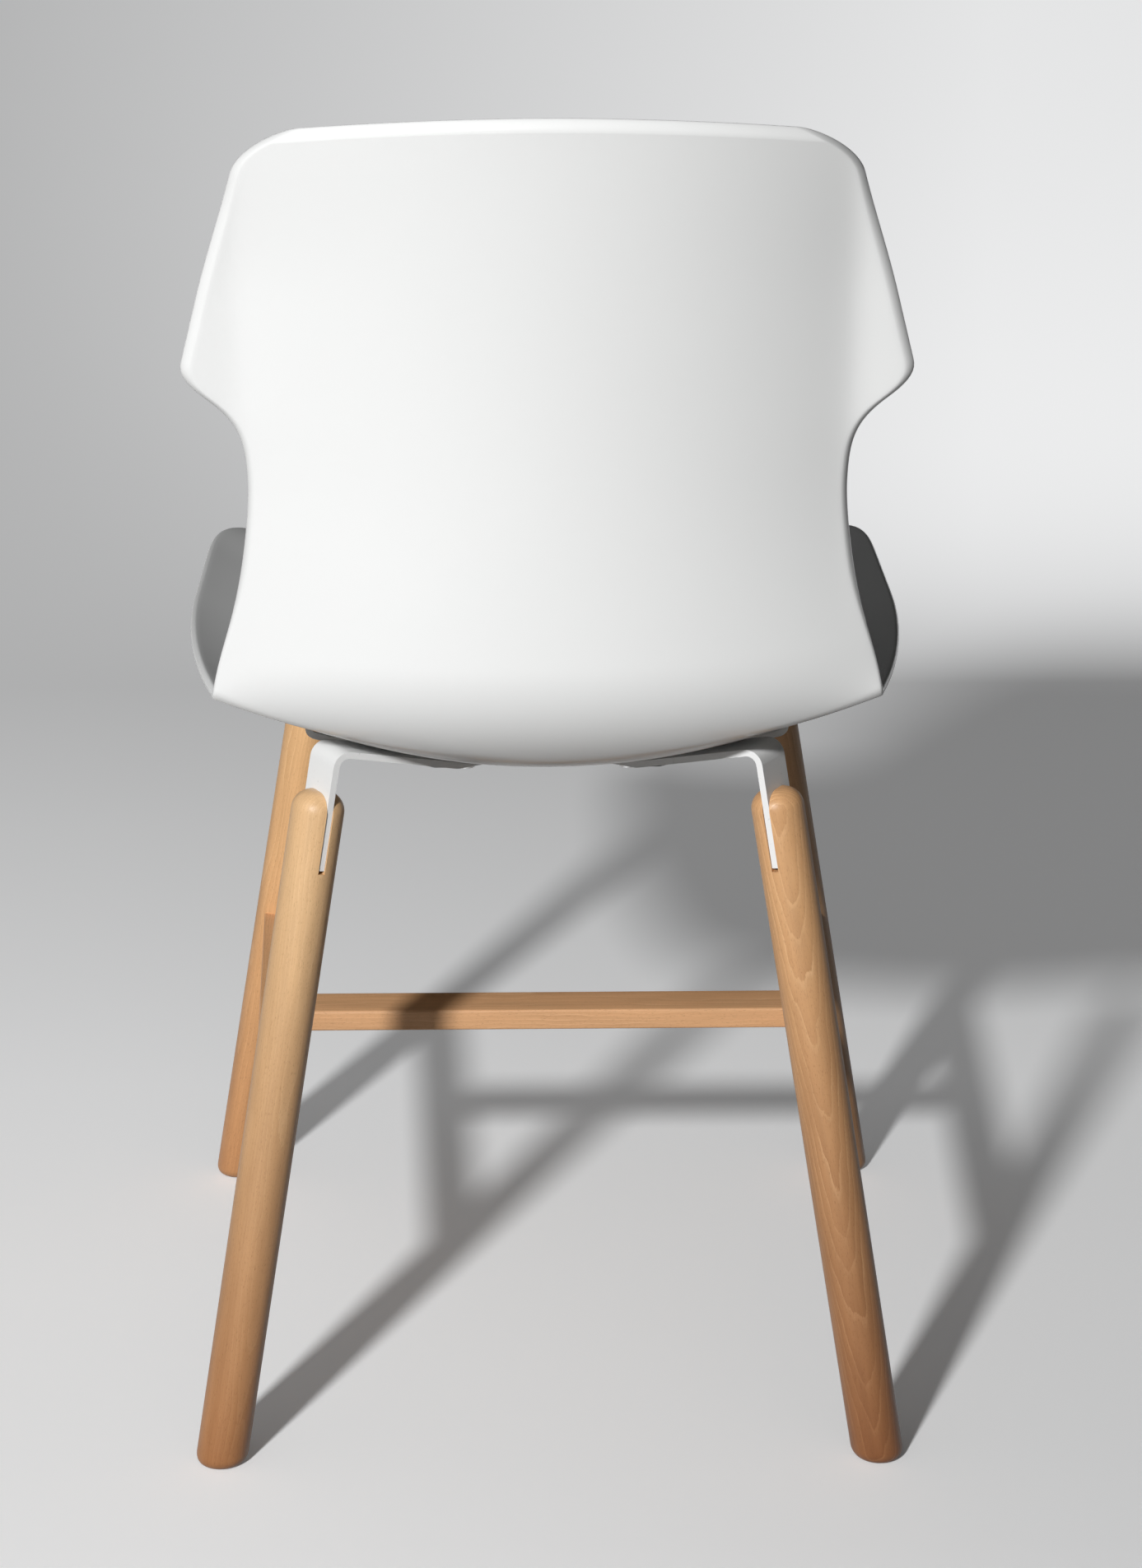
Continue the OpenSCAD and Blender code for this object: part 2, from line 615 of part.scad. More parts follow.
module cross_rail() {
    half_d = cross_rail_d / 2;
    color("burlywood") difference() {
        translate([0, 0, cross_z - cross_rail_h / 2]) linear_extrude(cross_rail_h)
            polygon([[-rail_inner_x(cross_rail_y - half_d), cross_rail_y - half_d],
                     [rail_inner_x(cross_rail_y - half_d), cross_rail_y - half_d],
                     [rail_inner_x(cross_rail_y + half_d), cross_rail_y + half_d],
                     [-rail_inner_x(cross_rail_y + half_d), cross_rail_y + half_d]]);
        for (side = [-1, 1], dy = cross_dowel_y) cross_dowel_axis(side, dy)
            translate([0, 0, -2]) cylinder(d = dowel_d, h = cross_dowel_l - cross_dowel_in + dowel_gap + 2);
    }
}

module cross_rail_dowels() {
    color("tan") for (side = [-1, 1], dy = cross_dowel_y) cross_dowel_axis(side, dy)
        translate([0, 0, dowel_gap - cross_dowel_in]) cylinder(d = dowel_d, h = cross_dowel_l);
}

// ---------------------------------------------------------------- assembly

seat_shell();
shell_inserts();
under_seat_bracket();
shell_screws();
shell_screw_washers();
rear_leg_left();
rear_leg_right();
front_leg_left();
front_leg_right();
leg_bolts();
leg_sleeve_nuts();
side_rail_left();
side_rail_right();
cross_rail();
side_rail_dowels();
cross_rail_dowels();
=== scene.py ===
import contextlib
import math

import bmesh
import bpy
import numpy as np
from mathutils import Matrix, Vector


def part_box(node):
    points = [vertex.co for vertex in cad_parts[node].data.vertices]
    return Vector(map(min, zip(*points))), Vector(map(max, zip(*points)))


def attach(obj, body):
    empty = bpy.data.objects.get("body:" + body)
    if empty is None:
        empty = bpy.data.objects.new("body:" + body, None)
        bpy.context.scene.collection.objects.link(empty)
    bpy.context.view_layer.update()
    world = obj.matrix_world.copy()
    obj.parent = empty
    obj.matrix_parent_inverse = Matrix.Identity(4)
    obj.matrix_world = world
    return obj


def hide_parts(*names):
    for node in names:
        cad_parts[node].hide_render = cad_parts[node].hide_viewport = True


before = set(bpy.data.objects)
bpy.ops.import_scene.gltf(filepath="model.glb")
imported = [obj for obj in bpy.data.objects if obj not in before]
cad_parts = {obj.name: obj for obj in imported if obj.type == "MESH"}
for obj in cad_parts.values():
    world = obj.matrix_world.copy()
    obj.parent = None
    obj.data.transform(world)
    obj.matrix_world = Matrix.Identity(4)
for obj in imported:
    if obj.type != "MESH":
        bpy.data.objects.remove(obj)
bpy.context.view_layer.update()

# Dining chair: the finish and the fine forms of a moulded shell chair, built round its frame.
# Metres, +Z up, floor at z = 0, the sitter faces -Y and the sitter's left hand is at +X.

bl_info = {
    "name": "Moulded Shell Dining Chair",
    "version": (1, 0, 0),
    "blender": (4, 5, 0),
    "location": "View3D > Sidebar > Chair",
    "description": "Builds a dining chair with a moulded shell, a steel bracket and beech legs",
    "category": "Add Mesh",
}

BODY = "root"
SHELL_LOW, SHELL_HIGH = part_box("seat_shell")

# ---------------------------------------------------------------- sizes and colours


def length(name, description, default):
    """A size in metres that a user can change."""
    return bpy.props.FloatProperty(
        name=name, description=description, default=default, unit="LENGTH", precision=4
    )


def angle(name, description, degrees):
    """An angle that a user can change, given in degrees."""
    return bpy.props.FloatProperty(
        name=name, description=description, default=math.radians(degrees), unit="ROTATION"
    )


def factor(name, description, default):
    """A share or strength that a user can change."""
    return bpy.props.FloatProperty(name=name, description=description, default=default, subtype="FACTOR")


def colour(name, description, default):
    """A colour that a user can change."""
    return bpy.props.FloatVectorProperty(
        name=name, description=description, default=default, subtype="COLOR"
    )


def group(name, description, kind):
    """A group of settings that a user can change."""
    return bpy.props.PointerProperty(name=name, description=description, type=kind)


class ShellSizes(bpy.types.PropertyGroup):
    """Sizes of the moulded wall that is both seat and back."""

    wall: length("Wall", "Thickness of the moulded wall", 0.006)
    top_z: length("Top edge", "Height of the back's top edge in the middle", SHELL_HIGH.z)
    front_y: length("Front edge", "Front edge of the seat", SHELL_LOW.y)
    seat_half_w: length("Seat half width", "Largest half width of the seat, on top", SHELL_HIGH.x - 0.003)
    pan_z: length("Pan", "Height of the seat's lowest stretch, on top", 0.447)
    rim_z: length("Side rims", "Height of the seat's side rims", 0.497)
    turn_r: length("Turn radius", "Radius of the turn from the seat into the back", 0.073)
    turn_y: length("Turn start", "Where that turn starts along the chair", 0.1405)
    lean: angle("Back lean", "Backward lean of the back where it leaves the turn", -2.3)
    curl: length("Back curl", "How far the back's top bends back from straight", 0.0525)
    corner_half_w: length("Corner half width", "Half width at the folded corners", 0.1955)
    waist_half_w: length("Waist half width", "Half width of the back at its waist", 0.173)
    waist_z: length("Waist", "Height of the waist", 0.6225)
    wing_half_w: length("Wing half width", "Half width of the back at its wings", 0.2075)
    wing_z: length("Wing tips", "Height of the wings' tips", 0.6995)
    bow_r: length("Bow radius", "Radius of the back's bow across the chair", 0.385)
    flare_x: length("Flare", "Half width at which the bow flattens out into the wings", 0.172)
    rim_slant: length("Rim slant", "How far the rear side stops short of the rim", 0.005)
    rim_round: length("Rim rounding", "Width of the rounding at the rim", 0.0024)


class LegSizes(bpy.types.PropertyGroup):
    """Sizes of the turned legs and of the stretcher between them."""

    rear_foot_x: length("Rear feet across", "Rear feet from the centre plane", 0.205)
    rear_foot_y: length("Rear feet along", "Rear feet along the chair", 0.193)
    front_foot_x: length("Front feet across", "Front feet from the centre plane", 0.223)
    front_foot_y: length("Front feet along", "Front feet along the chair", -0.238)
    radius: length("Radius", "Radius of a leg", 0.016)
    top_z: length("Top", "Height of the leg tops on their axis", 0.427)
    dome_r: length("Dome", "Rounding of the leg tops", 0.012)
    foot_r: length("Foot", "Rounding of the feet", 0.007)
    rear_splay: angle("Rear splay", "Outward lean of the rear legs", 10.6)
    front_splay: angle("Front splay", "Outward lean of the front legs", 11.2)
    heading: angle("Heading", "Direction of the lean, from straight sideways", 30)
    slot_depth: length("Slot depth", "Depth of the slot in a leg top", 0.048)
    slot_half_w: length("Slot half width", "Half the width of that slot", 0.0022)
    bore_r: length("Bore radius", "Radius of the sunk bores for the bolt heads", 0.00555)
    bore_sink: length("Bore depth", "Depth of those bores", 0.005)
    first_bolt: length("Upper bolt", "Upper bolt below the leg's top", 0.017)
    second_bolt: length("Lower bolt", "Lower bolt below the leg's top", 0.035)
    edge: length("Edge", "Softened edge of wood and steel", 0.0006)


class RailSizes(bpy.types.PropertyGroup):
    """Sizes of the stretcher's rails."""

    top_z: length("Rail top", "Height of the rails' top faces", 0.215)
    side_t: length("Side rail thickness", "Thickness of the side rails", 0.016)
    side_h: length("Side rail height", "Height of the side rails", 0.033)
    cross_h: length("Cross rail height", "Height of the cross rail", 0.014)
    cross_d: length("Cross rail depth", "Depth of the cross rail", 0.033)
    cross_y: length("Cross rail place", "Middle of the cross rail along the chair", -0.0345)
    edge: length("Rail edge", "Rounding of the rails' long edges", 0.0015)


class StageSizes(bpy.types.PropertyGroup):
    """Camera, lamp, sky, floor and backdrop."""

    camera_x: length("Camera across", "Camera across the chair", 0.0257)
    camera_y: length("Camera along", "Camera behind the chair", 2.2275)
    camera_z: length("Camera height", "Height of the camera", 1.1287)
    pitch: angle("Pitch", "How far the camera looks down", 18.61)
    yaw: angle("Yaw", "How far the camera looks past the middle", -1.09)
    lens: bpy.props.FloatProperty(
        name="Lens", description="Focal length on a 36 mm frame", default=84.08, unit="CAMERA"
    )
    key: bpy.props.FloatProperty(
        name="Key", description="Power of the main lamp", default=107.0, subtype="POWER"
    )
    key_x: length("Key across", "Main lamp across the chair", 1.154)
    key_y: length("Key along", "Main lamp behind the chair", 2.767)
    key_z: length("Key height", "Height of the main lamp", 1.984)
    key_size: length("Key size", "Width of the main lamp", 0.26)
    sky: factor("Sky", "Light from above, on the lamp's side", 0.19)
    far_sky: factor("Far sky", "Light from the other side", 0.0)
    seen_sky: factor("Seen sky", "Extra level of the sky where the camera sees it", 0.4)
    # Painted light: glow that the near floor gives off towards the camera
    painted_glow_left: factor("Floor glow left", "Glow of the near floor at the left of the rear view", 0.11)
    painted_glow_right: factor("Floor glow right", "Glow of the near floor at the right of the rear view", 0.08)
    # Painted light: a pool of light round the chair, painted as a paler floor where the camera sees it
    pool: factor("Floor pool", "How much paler the floor is round the chair", 1.07)
    fade_start: length("Fade start", "The floor passes into the backdrop from here on", 1.45)
    fade_left: length("Fade left", "Length of that passage at the left of the rear view", 1.3)
    fade_right: length("Fade right", "Length of that passage at the right of the rear view", 0.35)
    # Painted light: glow of the backdrop, dimmer at the left of the rear view than at the right
    painted_backdrop_left: factor("Backdrop left", "Glow of the backdrop at the left of the rear view", 0.19)
    painted_backdrop_right: factor("Backdrop right", "Glow of the backdrop at the right of the rear view", 0.59)


class FinishColours(bpy.types.PropertyGroup):
    """Colours of the finishes."""

    shell: colour("Shell", "Moulded plastic", (0.82, 0.825, 0.82))
    paint: colour("Bracket paint", "Powder coat on the steel", (0.84, 0.845, 0.84))
    beech: colour("Beech", "Body of the wood", (0.64, 0.405, 0.215))
    beech_pale: colour("Pale beech", "Pale lines of the wood", (0.80, 0.56, 0.33))
    beech_dark: colour("Dark beech", "Dark flecks and late wood", (0.40, 0.215, 0.095))
    steel: colour("Steel", "Screws and washers", (0.62, 0.62, 0.61))
    brass: colour("Brass", "Threaded sleeves", (0.72, 0.53, 0.25))
    floor: colour("Floor", "Floor and backdrop", (0.93, 0.935, 0.94))
    floor_bounce: colour("Floor bounce", "Floor as the chair sees it", (0.12, 0.118, 0.112))


# ---------------------------------------------------------------- formulas


def mix(a, b, t):
    """Passes from a to b as t runs 0..1."""
    return a + (b - a) * t


def smooth01(t):
    """Rises smoothly from 0 to 1 as t runs 0..1."""
    c = np.clip(t, 0.0, 1.0)
    return c * c * (3 - 2 * c)


def soft_min(a, b, k):
    """Smaller of two values, with the corner between them blended over k."""
    h = np.maximum(k - np.abs(a - b), 0.0) / k
    return np.minimum(a, b) - h * h * k / 4


def unit(v):
    """v with length 1, along its last axis."""
    return v / np.linalg.norm(v, axis=-1, keepdims=True)


class ShellForm:
    """The moulded wall as a surface of two parameters.

    u runs -1..1 across. v runs 0..1 over the seat, from its front edge to the folded corners,
    and 1..2 up the back to its top edge. Each row has a point in the middle and one at the edge:
    x is the edge's x times u, and y and z pass from middle to edge with |u| to the power 2.07.
    """

    ROW_POWER = 2.07
    PAN_SHARE = 0.86          # of v over the seat, before the turn
    FOLD_TURN = math.radians(40)  # slope of the middle line level with the folded corners
    FOLD_Y = 0.1745
    WIDEST_Y = -0.038         # forward of it the side rims run straight
    ROUND_Y = -0.1255         # the seat's rounded front starts here
    ROUND_SHARE = 0.42        # of v over the seat, for that rounded front
    ROUND_SWEEP = math.radians(76)
    RIM_DIP = 0.045           # of the rim at the front corners
    RIM_DIP_POWER = 3
    PAN_RISE = 0.015
    PAN_RISE_Y = 0.080
    PAN_RISE_L = 0.305
    PAN_RISE_POWER = 1.8
    NOSE_DROP = 0.013         # roll of the seat's front edge, over a length of NOSE_L
    NOSE_L = 0.015
    CROWN = 0.0093            # drop of the top edge at CROWN_X from the middle
    CROWN_X = 0.143
    CROWN_POWER = 1.9
    CROWN_Z = 0.732           # from here up to the top edge the crown's drop grows
    TOP_CORNER_W = 0.044      # the rounded top corners are quarter ellipses
    TOP_CORNER_H = 0.025
    WAIST_POWER = 1.6         # of the run from the folded corners in to the waist
    SHOULDER_SLOPE = 1.7      # of the wing's lower edge, from SHOULDER_BELOW under its tip
    SHOULDER_BELOW = 0.0378
    SHOULDER_L = 0.0095
    WING_TAPER = 0.2665
    WING_BLEND = 0.0195
    LIFT_H = 0.048            # height above the folded corners over which the fold flattens
    BOW_H = 0.183             # height over which the bow takes over from the fold
    FLARE = 0.558             # slope that the bow loses over the flare
    FLARE_W = 0.0052
    SEAT_L = 0.430            # length of v 0..1, for insets
    BACK_L = 0.350            # length of v 1..2
    SLANT_FROM = 1.03         # the rim's slant grows from this v on, over SLANT_RUN
    SLANT_RUN = 0.2
    STEP_U = 0.01             # steps to the neighbours that give a normal
    STEP_V = 0.004

    def __init__(self, sizes):
        for key in sizes.bl_rna.properties.keys():
            if key not in ("rna_type", "name"):
                setattr(self, key, getattr(sizes, key))

    def turn_point(self, a):
        """Middle line along the turn: an arc of turn_r, a being its slope."""
        return self.turn_y + self.turn_r * np.sin(a), self.pan_z + self.turn_r * (1 - np.cos(a))

    def seat_middle(self, q):
        """Middle line over the seat: a pan that rises forward and rolls over at the nose, then the turn."""
        y = mix(self.front_y, self.turn_y, np.clip(q / self.PAN_SHARE, 0, 1))
        rise = (np.maximum(self.PAN_RISE_Y - y, 0) / self.PAN_RISE_L) ** self.PAN_RISE_POWER
        z = self.pan_z + self.PAN_RISE * rise - self.NOSE_DROP * np.exp((self.front_y - y) / self.NOSE_L)
        turn_y, turn_z = self.turn_point(self.FOLD_TURN * (q - self.PAN_SHARE) / (1 - self.PAN_SHARE))
        on_pan = q < self.PAN_SHARE
        return np.where(on_pan, y, turn_y), np.where(on_pan, z, turn_z)

    def back_middle(self, z):
        """Middle line by height: the turn's arc, then the lean and a curl that grows as a square."""
        end_y, end_z = self.turn_point(math.pi / 2 - self.lean)
        a = np.arccos(np.clip(1 - (z - self.pan_z) / self.turn_r, -1, 1))
        up = z - end_z
        bent = self.curl * (up / (self.top_z - end_z)) ** 2
        return np.where(up < 0, self.turn_point(a)[0], end_y + up * math.tan(self.lean) + bent)

    def seat_rim(self, q):
        """Seat's edge: a rounded front like a superellipse, then a parabola to the folded corner."""
        a = np.clip(self.ROUND_SWEEP * (1 - q / self.ROUND_SHARE), 0, math.pi / 2)
        front_l = self.ROUND_Y - self.front_y
        round_x = self.seat_half_w * np.sqrt(np.cos(a))
        round_y = self.ROUND_Y - front_l * np.sqrt(np.sin(a))
        round_z = self.rim_z - self.RIM_DIP * np.sin(a) ** self.RIM_DIP_POWER
        y = mix(self.ROUND_Y, self.FOLD_Y, (q - self.ROUND_SHARE) / (1 - self.ROUND_SHARE))
        t = np.maximum(y - self.WIDEST_Y, 0) / (self.FOLD_Y - self.WIDEST_Y)
        x = self.seat_half_w - (self.seat_half_w - self.corner_half_w) * t * t
        rounded = q < self.ROUND_SHARE
        z = np.where(rounded, round_z, self.rim_z)
        return np.where(rounded, round_x, x), np.where(rounded, round_y, y), z

    def bow(self, x):
        """Forward bow of the back by half width: a circle's start, flattened out over the wings."""
        flat = self.FLARE * self.FLARE_W * np.log1p(np.exp((x - self.flare_x) / self.FLARE_W))
        return x * x / (2 * self.bow_r) - flat

    def back_half_w(self, z):
        """Half width by height: waist, swell to the wing's tip, tapering line above, rounded top corner."""
        below = np.maximum(self.waist_z - z, 0) / (self.waist_z - self.rim_z)
        low = mix(self.waist_half_w, self.corner_half_w, below**self.WAIST_POWER)
        climb = np.logaddexp(0, (z - self.wing_z + self.SHOULDER_BELOW) / self.SHOULDER_L)
        low = low + self.SHOULDER_SLOPE * self.SHOULDER_L * climb
        high = self.wing_half_w - self.WING_TAPER * (z - self.wing_z)
        over = np.clip((z - self.top_z + self.TOP_CORNER_H) / self.TOP_CORNER_H, 0, 1)
        return soft_min(low, high, self.WING_BLEND) - self.TOP_CORNER_W * (1 - np.sqrt(1 - over * over))

    def half_w(self, v):
        """Half width of the row at v."""
        seat = self.seat_rim(np.minimum(v, 1))[0]
        return np.where(v < 1, seat, self.back_half_w(mix(self.rim_z, self.top_z, np.maximum(v - 1, 0))))

    def upper(self, u, v):
        """Point of the side that the sitter touches."""
        u, v = np.broadcast_arrays(np.asarray(u, float), np.asarray(v, float))
        f = np.abs(u) ** self.ROW_POWER
        q = np.minimum(v, 1)
        edge_x, edge_y, edge_z = self.seat_rim(q)
        mid_y, mid_z = self.seat_middle(q)
        seat = np.stack([edge_x * u, mix(mid_y, edge_y, f), mix(mid_z, edge_z, f)], -1)
        edge_z = mix(self.rim_z, self.top_z, np.maximum(v - 1, 0))
        lift = 1 - np.clip((edge_z - self.rim_z) / self.LIFT_H, 0, 1)
        mid_z = edge_z - (self.rim_z - self.turn_point(self.FOLD_TURN)[1]) * lift * lift
        mid_y = self.back_middle(mid_z)
        half = self.back_half_w(edge_z)
        to_fold = (mid_y - self.FOLD_Y) * f
        bow = mix(to_fold, self.bow(np.abs(half * u)), smooth01((edge_z - self.rim_z) / self.BOW_H))
        fade = smooth01((edge_z - self.CROWN_Z) / (self.top_z - self.CROWN_Z))
        drop = self.CROWN * np.abs(half * u / self.CROWN_X) ** self.CROWN_POWER * fade
        back = np.stack([half * u, mid_y - bow, mix(mid_z, edge_z, f) - drop], -1)
        return np.where((v < 1)[..., None], seat, back)

    def normal(self, u, v):
        """Direction towards the underside and the rear, from neighbouring points."""
        right, left = np.minimum(u + self.STEP_U, 1), np.maximum(u - self.STEP_U, -1)
        above, below = np.minimum(v + self.STEP_V, 2), np.maximum(v - self.STEP_V, 0)
        across = self.upper(right, v) - self.upper(left, v)
        along = self.upper(u, above) - self.upper(u, below)
        return unit(np.cross(along, across))

    def inset(self, u, v, distance):
        """u and v moved in from the shell's edges by a distance."""
        run = np.where(v < 1, self.SEAT_L, self.BACK_L)
        return u * (1 - distance / self.half_w(v)), 1 + (v - 1) * (1 - distance / run)

    def lower(self, u, v, distance):
        """Point of the rear side: a wall's thickness off the upper one, stopping short of the rim."""
        slant = self.rim_slant * smooth01((v - self.SLANT_FROM) / self.SLANT_RUN) + distance
        u_in, v_in = self.inset(u, v, slant)
        return self.upper(u_in, v_in) + self.wall * self.normal(u_in, v_in)


class LegForm:
    """Frame of one leg: z up its axis from the floor, x outwards, y along the slot."""

    def __init__(self, sizes, side, rear):
        self.sizes = sizes
        self.splay = sizes.rear_splay if rear else sizes.front_splay
        turn = sizes.heading if rear else -sizes.heading
        heading = turn if side > 0 else math.pi - turn
        foot_x = sizes.rear_foot_x if rear else sizes.front_foot_x
        foot_y = sizes.rear_foot_y if rear else sizes.front_foot_y
        self.length = sizes.top_z / math.cos(self.splay)
        self.foot = np.array([side * foot_x, foot_y, 0.0])
        out = np.array([math.cos(heading), math.sin(heading), 0.0])
        up = np.array([0.0, 0.0, 1.0])
        self.x = out * math.cos(self.splay) + up * math.sin(self.splay)
        self.z = up * math.cos(self.splay) - out * math.sin(self.splay)
        self.y = np.cross(self.z, self.x)
        self.axes = np.stack([self.x, self.y, self.z])

    def point(self, x, y, s):
        """Points of the leg's own frame in the chair's frame."""
        local = np.stack(np.broadcast_arrays(x, y, s), -1)
        return self.foot + local @ self.axes

    def level_ring(self, ring, height, radius):
        """Level cut through the leg at a height, shrunk about its middle to a radius."""
        r = self.sizes.radius
        s = (height - r * np.cos(ring) * math.sin(self.splay)) / math.cos(self.splay)
        centre = self.point(0.0, 0.0, height / math.cos(self.splay))
        return centre + (self.point(r * np.cos(ring), r * np.sin(ring), s) - centre) * (radius / r)

    def along_to_skin(self, origin, direction):
        """Distance from points along a direction to the leg's skin, at the near side."""
        reach = direction - (direction @ self.z) * self.z
        start = origin - self.foot
        start = start - (start @ self.z)[..., None] * self.z
        a = reach @ reach
        b = start @ reach
        c = np.sum(start * start, -1) - self.sizes.radius**2
        return (-b - np.sqrt(np.maximum(b * b - a * c, 0))) / a


# ---------------------------------------------------------------- meshes


def grid_faces(rows, columns, closed):
    """Corner numbers of the quads of a grid of points, joined round across if it is closed."""
    index = np.arange(rows * columns).reshape(rows, columns)
    if closed:
        index = np.concatenate([index, index[:, :1]], 1)
    return quads(index)


def quads(index):
    """Quads between neighbouring rows and columns of a grid of corner numbers."""
    corners = [index[:-1, :-1], index[:-1, 1:], index[1:, 1:], index[1:, :-1]]
    return np.stack(corners, -1).reshape(-1, 4)


def perimeter(grid):
    """Border of a grid, once round."""
    return np.concatenate([grid[0, :-1], grid[:-1, -1], grid[-1, :0:-1], grid[:0:-1, 0]])


def link(name, mesh):
    """Adds a mesh to the scene as an object at the origin."""
    piece = bpy.data.objects.new(name, mesh)
    bpy.context.scene.collection.objects.link(piece)
    return piece


@contextlib.contextmanager
def editing(mesh):
    """The mesh as an edit mesh, which is written back at the end."""
    work = bmesh.new()
    work.from_mesh(mesh)
    yield work
    work.to_mesh(mesh)
    work.free()
    mesh.update()


def close_up(mesh, gap=1e-6):
    """Merges doubles, drops flat faces and turns all faces outwards."""
    with editing(mesh) as work:
        bmesh.ops.remove_doubles(work, verts=work.verts, dist=gap)
        bmesh.ops.dissolve_degenerate(work, edges=work.edges, dist=gap)
        bmesh.ops.recalc_face_normals(work, faces=work.faces)


def patch_mesh(name, patches):
    """One mesh from grids of points, each given with whether it closes across."""
    points, faces, start = [], [], 0
    for grid, closed in patches:
        rows, columns = grid.shape[:2]
        points.append(grid.reshape(-1, 3))
        faces.append(grid_faces(rows, columns, closed) + start)
        start += rows * columns
    mesh = bpy.data.meshes.new(name)
    mesh.from_pydata(np.concatenate(points), [], np.concatenate(faces))
    close_up(mesh)
    return mesh


def smooth(mesh, sharp_above=35):
    """Smooth shading, with edges sharp above an angle."""
    mesh.shade_smooth()
    mesh.set_sharp_from_angle(angle=math.radians(sharp_above))


def turned(profile, origin, axes, around=48):
    """Surface of revolution: a profile of radius and height carried round the third axis."""
    radius, height = np.asarray(profile, float).T[..., None]
    a = np.linspace(0, 2 * math.pi, around, endpoint=False)
    local = np.stack(np.broadcast_arrays(radius * np.cos(a), radius * np.sin(a), height), -1)
    return origin + local @ axes


def set_grain(mesh, origin, axes):
    """Stores each point's place in the piece's own frame, its third axis along the wood."""
    at = np.empty(len(mesh.vertices) * 3, np.float32)
    mesh.vertices.foreach_get("co", at)
    local = (at.reshape(-1, 3) - origin) @ axes.T
    grain = mesh.attributes.new("grain", "FLOAT_VECTOR", "POINT")
    grain.data.foreach_set("vector", local.astype(np.float32).ravel())


def soften(piece, width, segments=3, above=40):
    """Bevels the piece's sharp edges."""
    bevel = piece.modifiers.new("edges", "BEVEL")
    bevel.width = width
    bevel.segments = segments
    bevel.limit_method = "ANGLE"
    bevel.angle_limit = math.radians(above)
    bevel.use_clamp_overlap = True


def cut_away(piece, cutter_mesh):
    """Takes the cutter's closed forms out of the piece and keeps the result as its mesh."""
    cutter = link("cutter", cutter_mesh)
    cut = piece.modifiers.new("bores", "BOOLEAN")
    cut.operation = "DIFFERENCE"
    cut.solver = "EXACT"
    cut.object = cutter
    bpy.context.view_layer.update()
    graph = bpy.context.evaluated_depsgraph_get()
    result = bpy.data.meshes.new_from_object(piece.evaluated_get(graph))
    piece.modifiers.remove(cut)
    bpy.data.objects.remove(cutter)
    result.name = piece.name
    piece.data = result


# ---------------------------------------------------------------- finishes


class Finish:
    """A material and its nodes."""

    def __init__(self, name):
        self.material = bpy.data.materials.new(name)
        self.material.use_nodes = True
        self.tree = self.material.node_tree
        self.surface = self.tree.nodes["Principled BSDF"]

    def put(self, socket, value):
        """Links a socket to a node's output, or sets its own value."""
        if isinstance(value, bpy.types.NodeSocket):
            self.tree.links.new(value, socket)
        else:
            socket.default_value = value

    def add(self, kind, inputs, output=0, **options):
        """Adds a node and returns one of its outputs."""
        node = self.tree.nodes.new(kind)
        for key, value in options.items():
            setattr(node, key, value)
        for key, value in inputs.items():
            self.put(node.inputs[key], value)
        return node.outputs[output]

    def math(self, operation, a, b=0.0):
        """Works out one value from one or two."""
        return self.add("ShaderNodeMath", {0: a, 1: b}, operation=operation)

    def vector(self, operation, a, b):
        """Works out one vector or colour from two."""
        return self.add("ShaderNodeVectorMath", {0: a, 1: b}, operation=operation)

    def own_place(self):
        """Place on the object, in metres."""
        return self.add("ShaderNodeTexCoord", {}, "Object")

    def noise(self, place, scale, detail=3.0, roughness=0.5, stretch=(1, 1, 1)):
        """Noise of a size set by scale, stretched along the axes."""
        place = self.vector("MULTIPLY", place, stretch)
        inputs = {"Vector": place, "Scale": scale, "Detail": detail, "Roughness": roughness}
        return self.add("ShaderNodeTexNoise", inputs, "Fac")

    def span(self, value, low, high, new_low=0.0, new_high=1.0):
        """Maps low..high to new_low..new_high, and holds it there."""
        inputs = {"Value": value, "From Min": low, "From Max": high, "To Min": new_low, "To Max": new_high}
        return self.add("ShaderNodeMapRange", inputs, "Result")

    def blend(self, share, a, b):
        """Passes from colour a to colour b."""
        return self.add("ShaderNodeMix", {0: share, 6: a, 7: b}, 2, data_type="RGBA")

    def steps(self, value, stops):
        """Grey ramp through stops of place and value."""
        output = self.add("ShaderNodeValToRGB", {0: value}, "Color")
        ramp = output.node.color_ramp
        while len(ramp.elements) < len(stops):
            ramp.elements.new(0.5)
        for element, (place, level) in zip(ramp.elements, stops):
            element.position = place
            element.color = (level, level, level, 1)
        return output

    def swing(self, noise, reach):
        """Noise turned into a swing to both sides of nought."""
        return self.math("MULTIPLY", self.math("SUBTRACT", noise, 0.5), reach)

    def relief(self, height, depth, strength=1.0):
        """Bumps the surface by a height of up to a depth in metres."""
        inputs = {"Height": height, "Distance": depth, "Strength": strength}
        self.put(self.surface.inputs["Normal"], self.add("ShaderNodeBump", inputs, "Normal"))

    def set(self, **values):
        """Sets the shader's own sockets, with _ for a space."""
        for key, value in values.items():
            self.put(self.surface.inputs[key.replace("_", " ")], value)


def rgba(colour_value, gain=1.0):
    """A colour of three numbers with full alpha."""
    return tuple(gain * c for c in colour_value) + (1.0,)


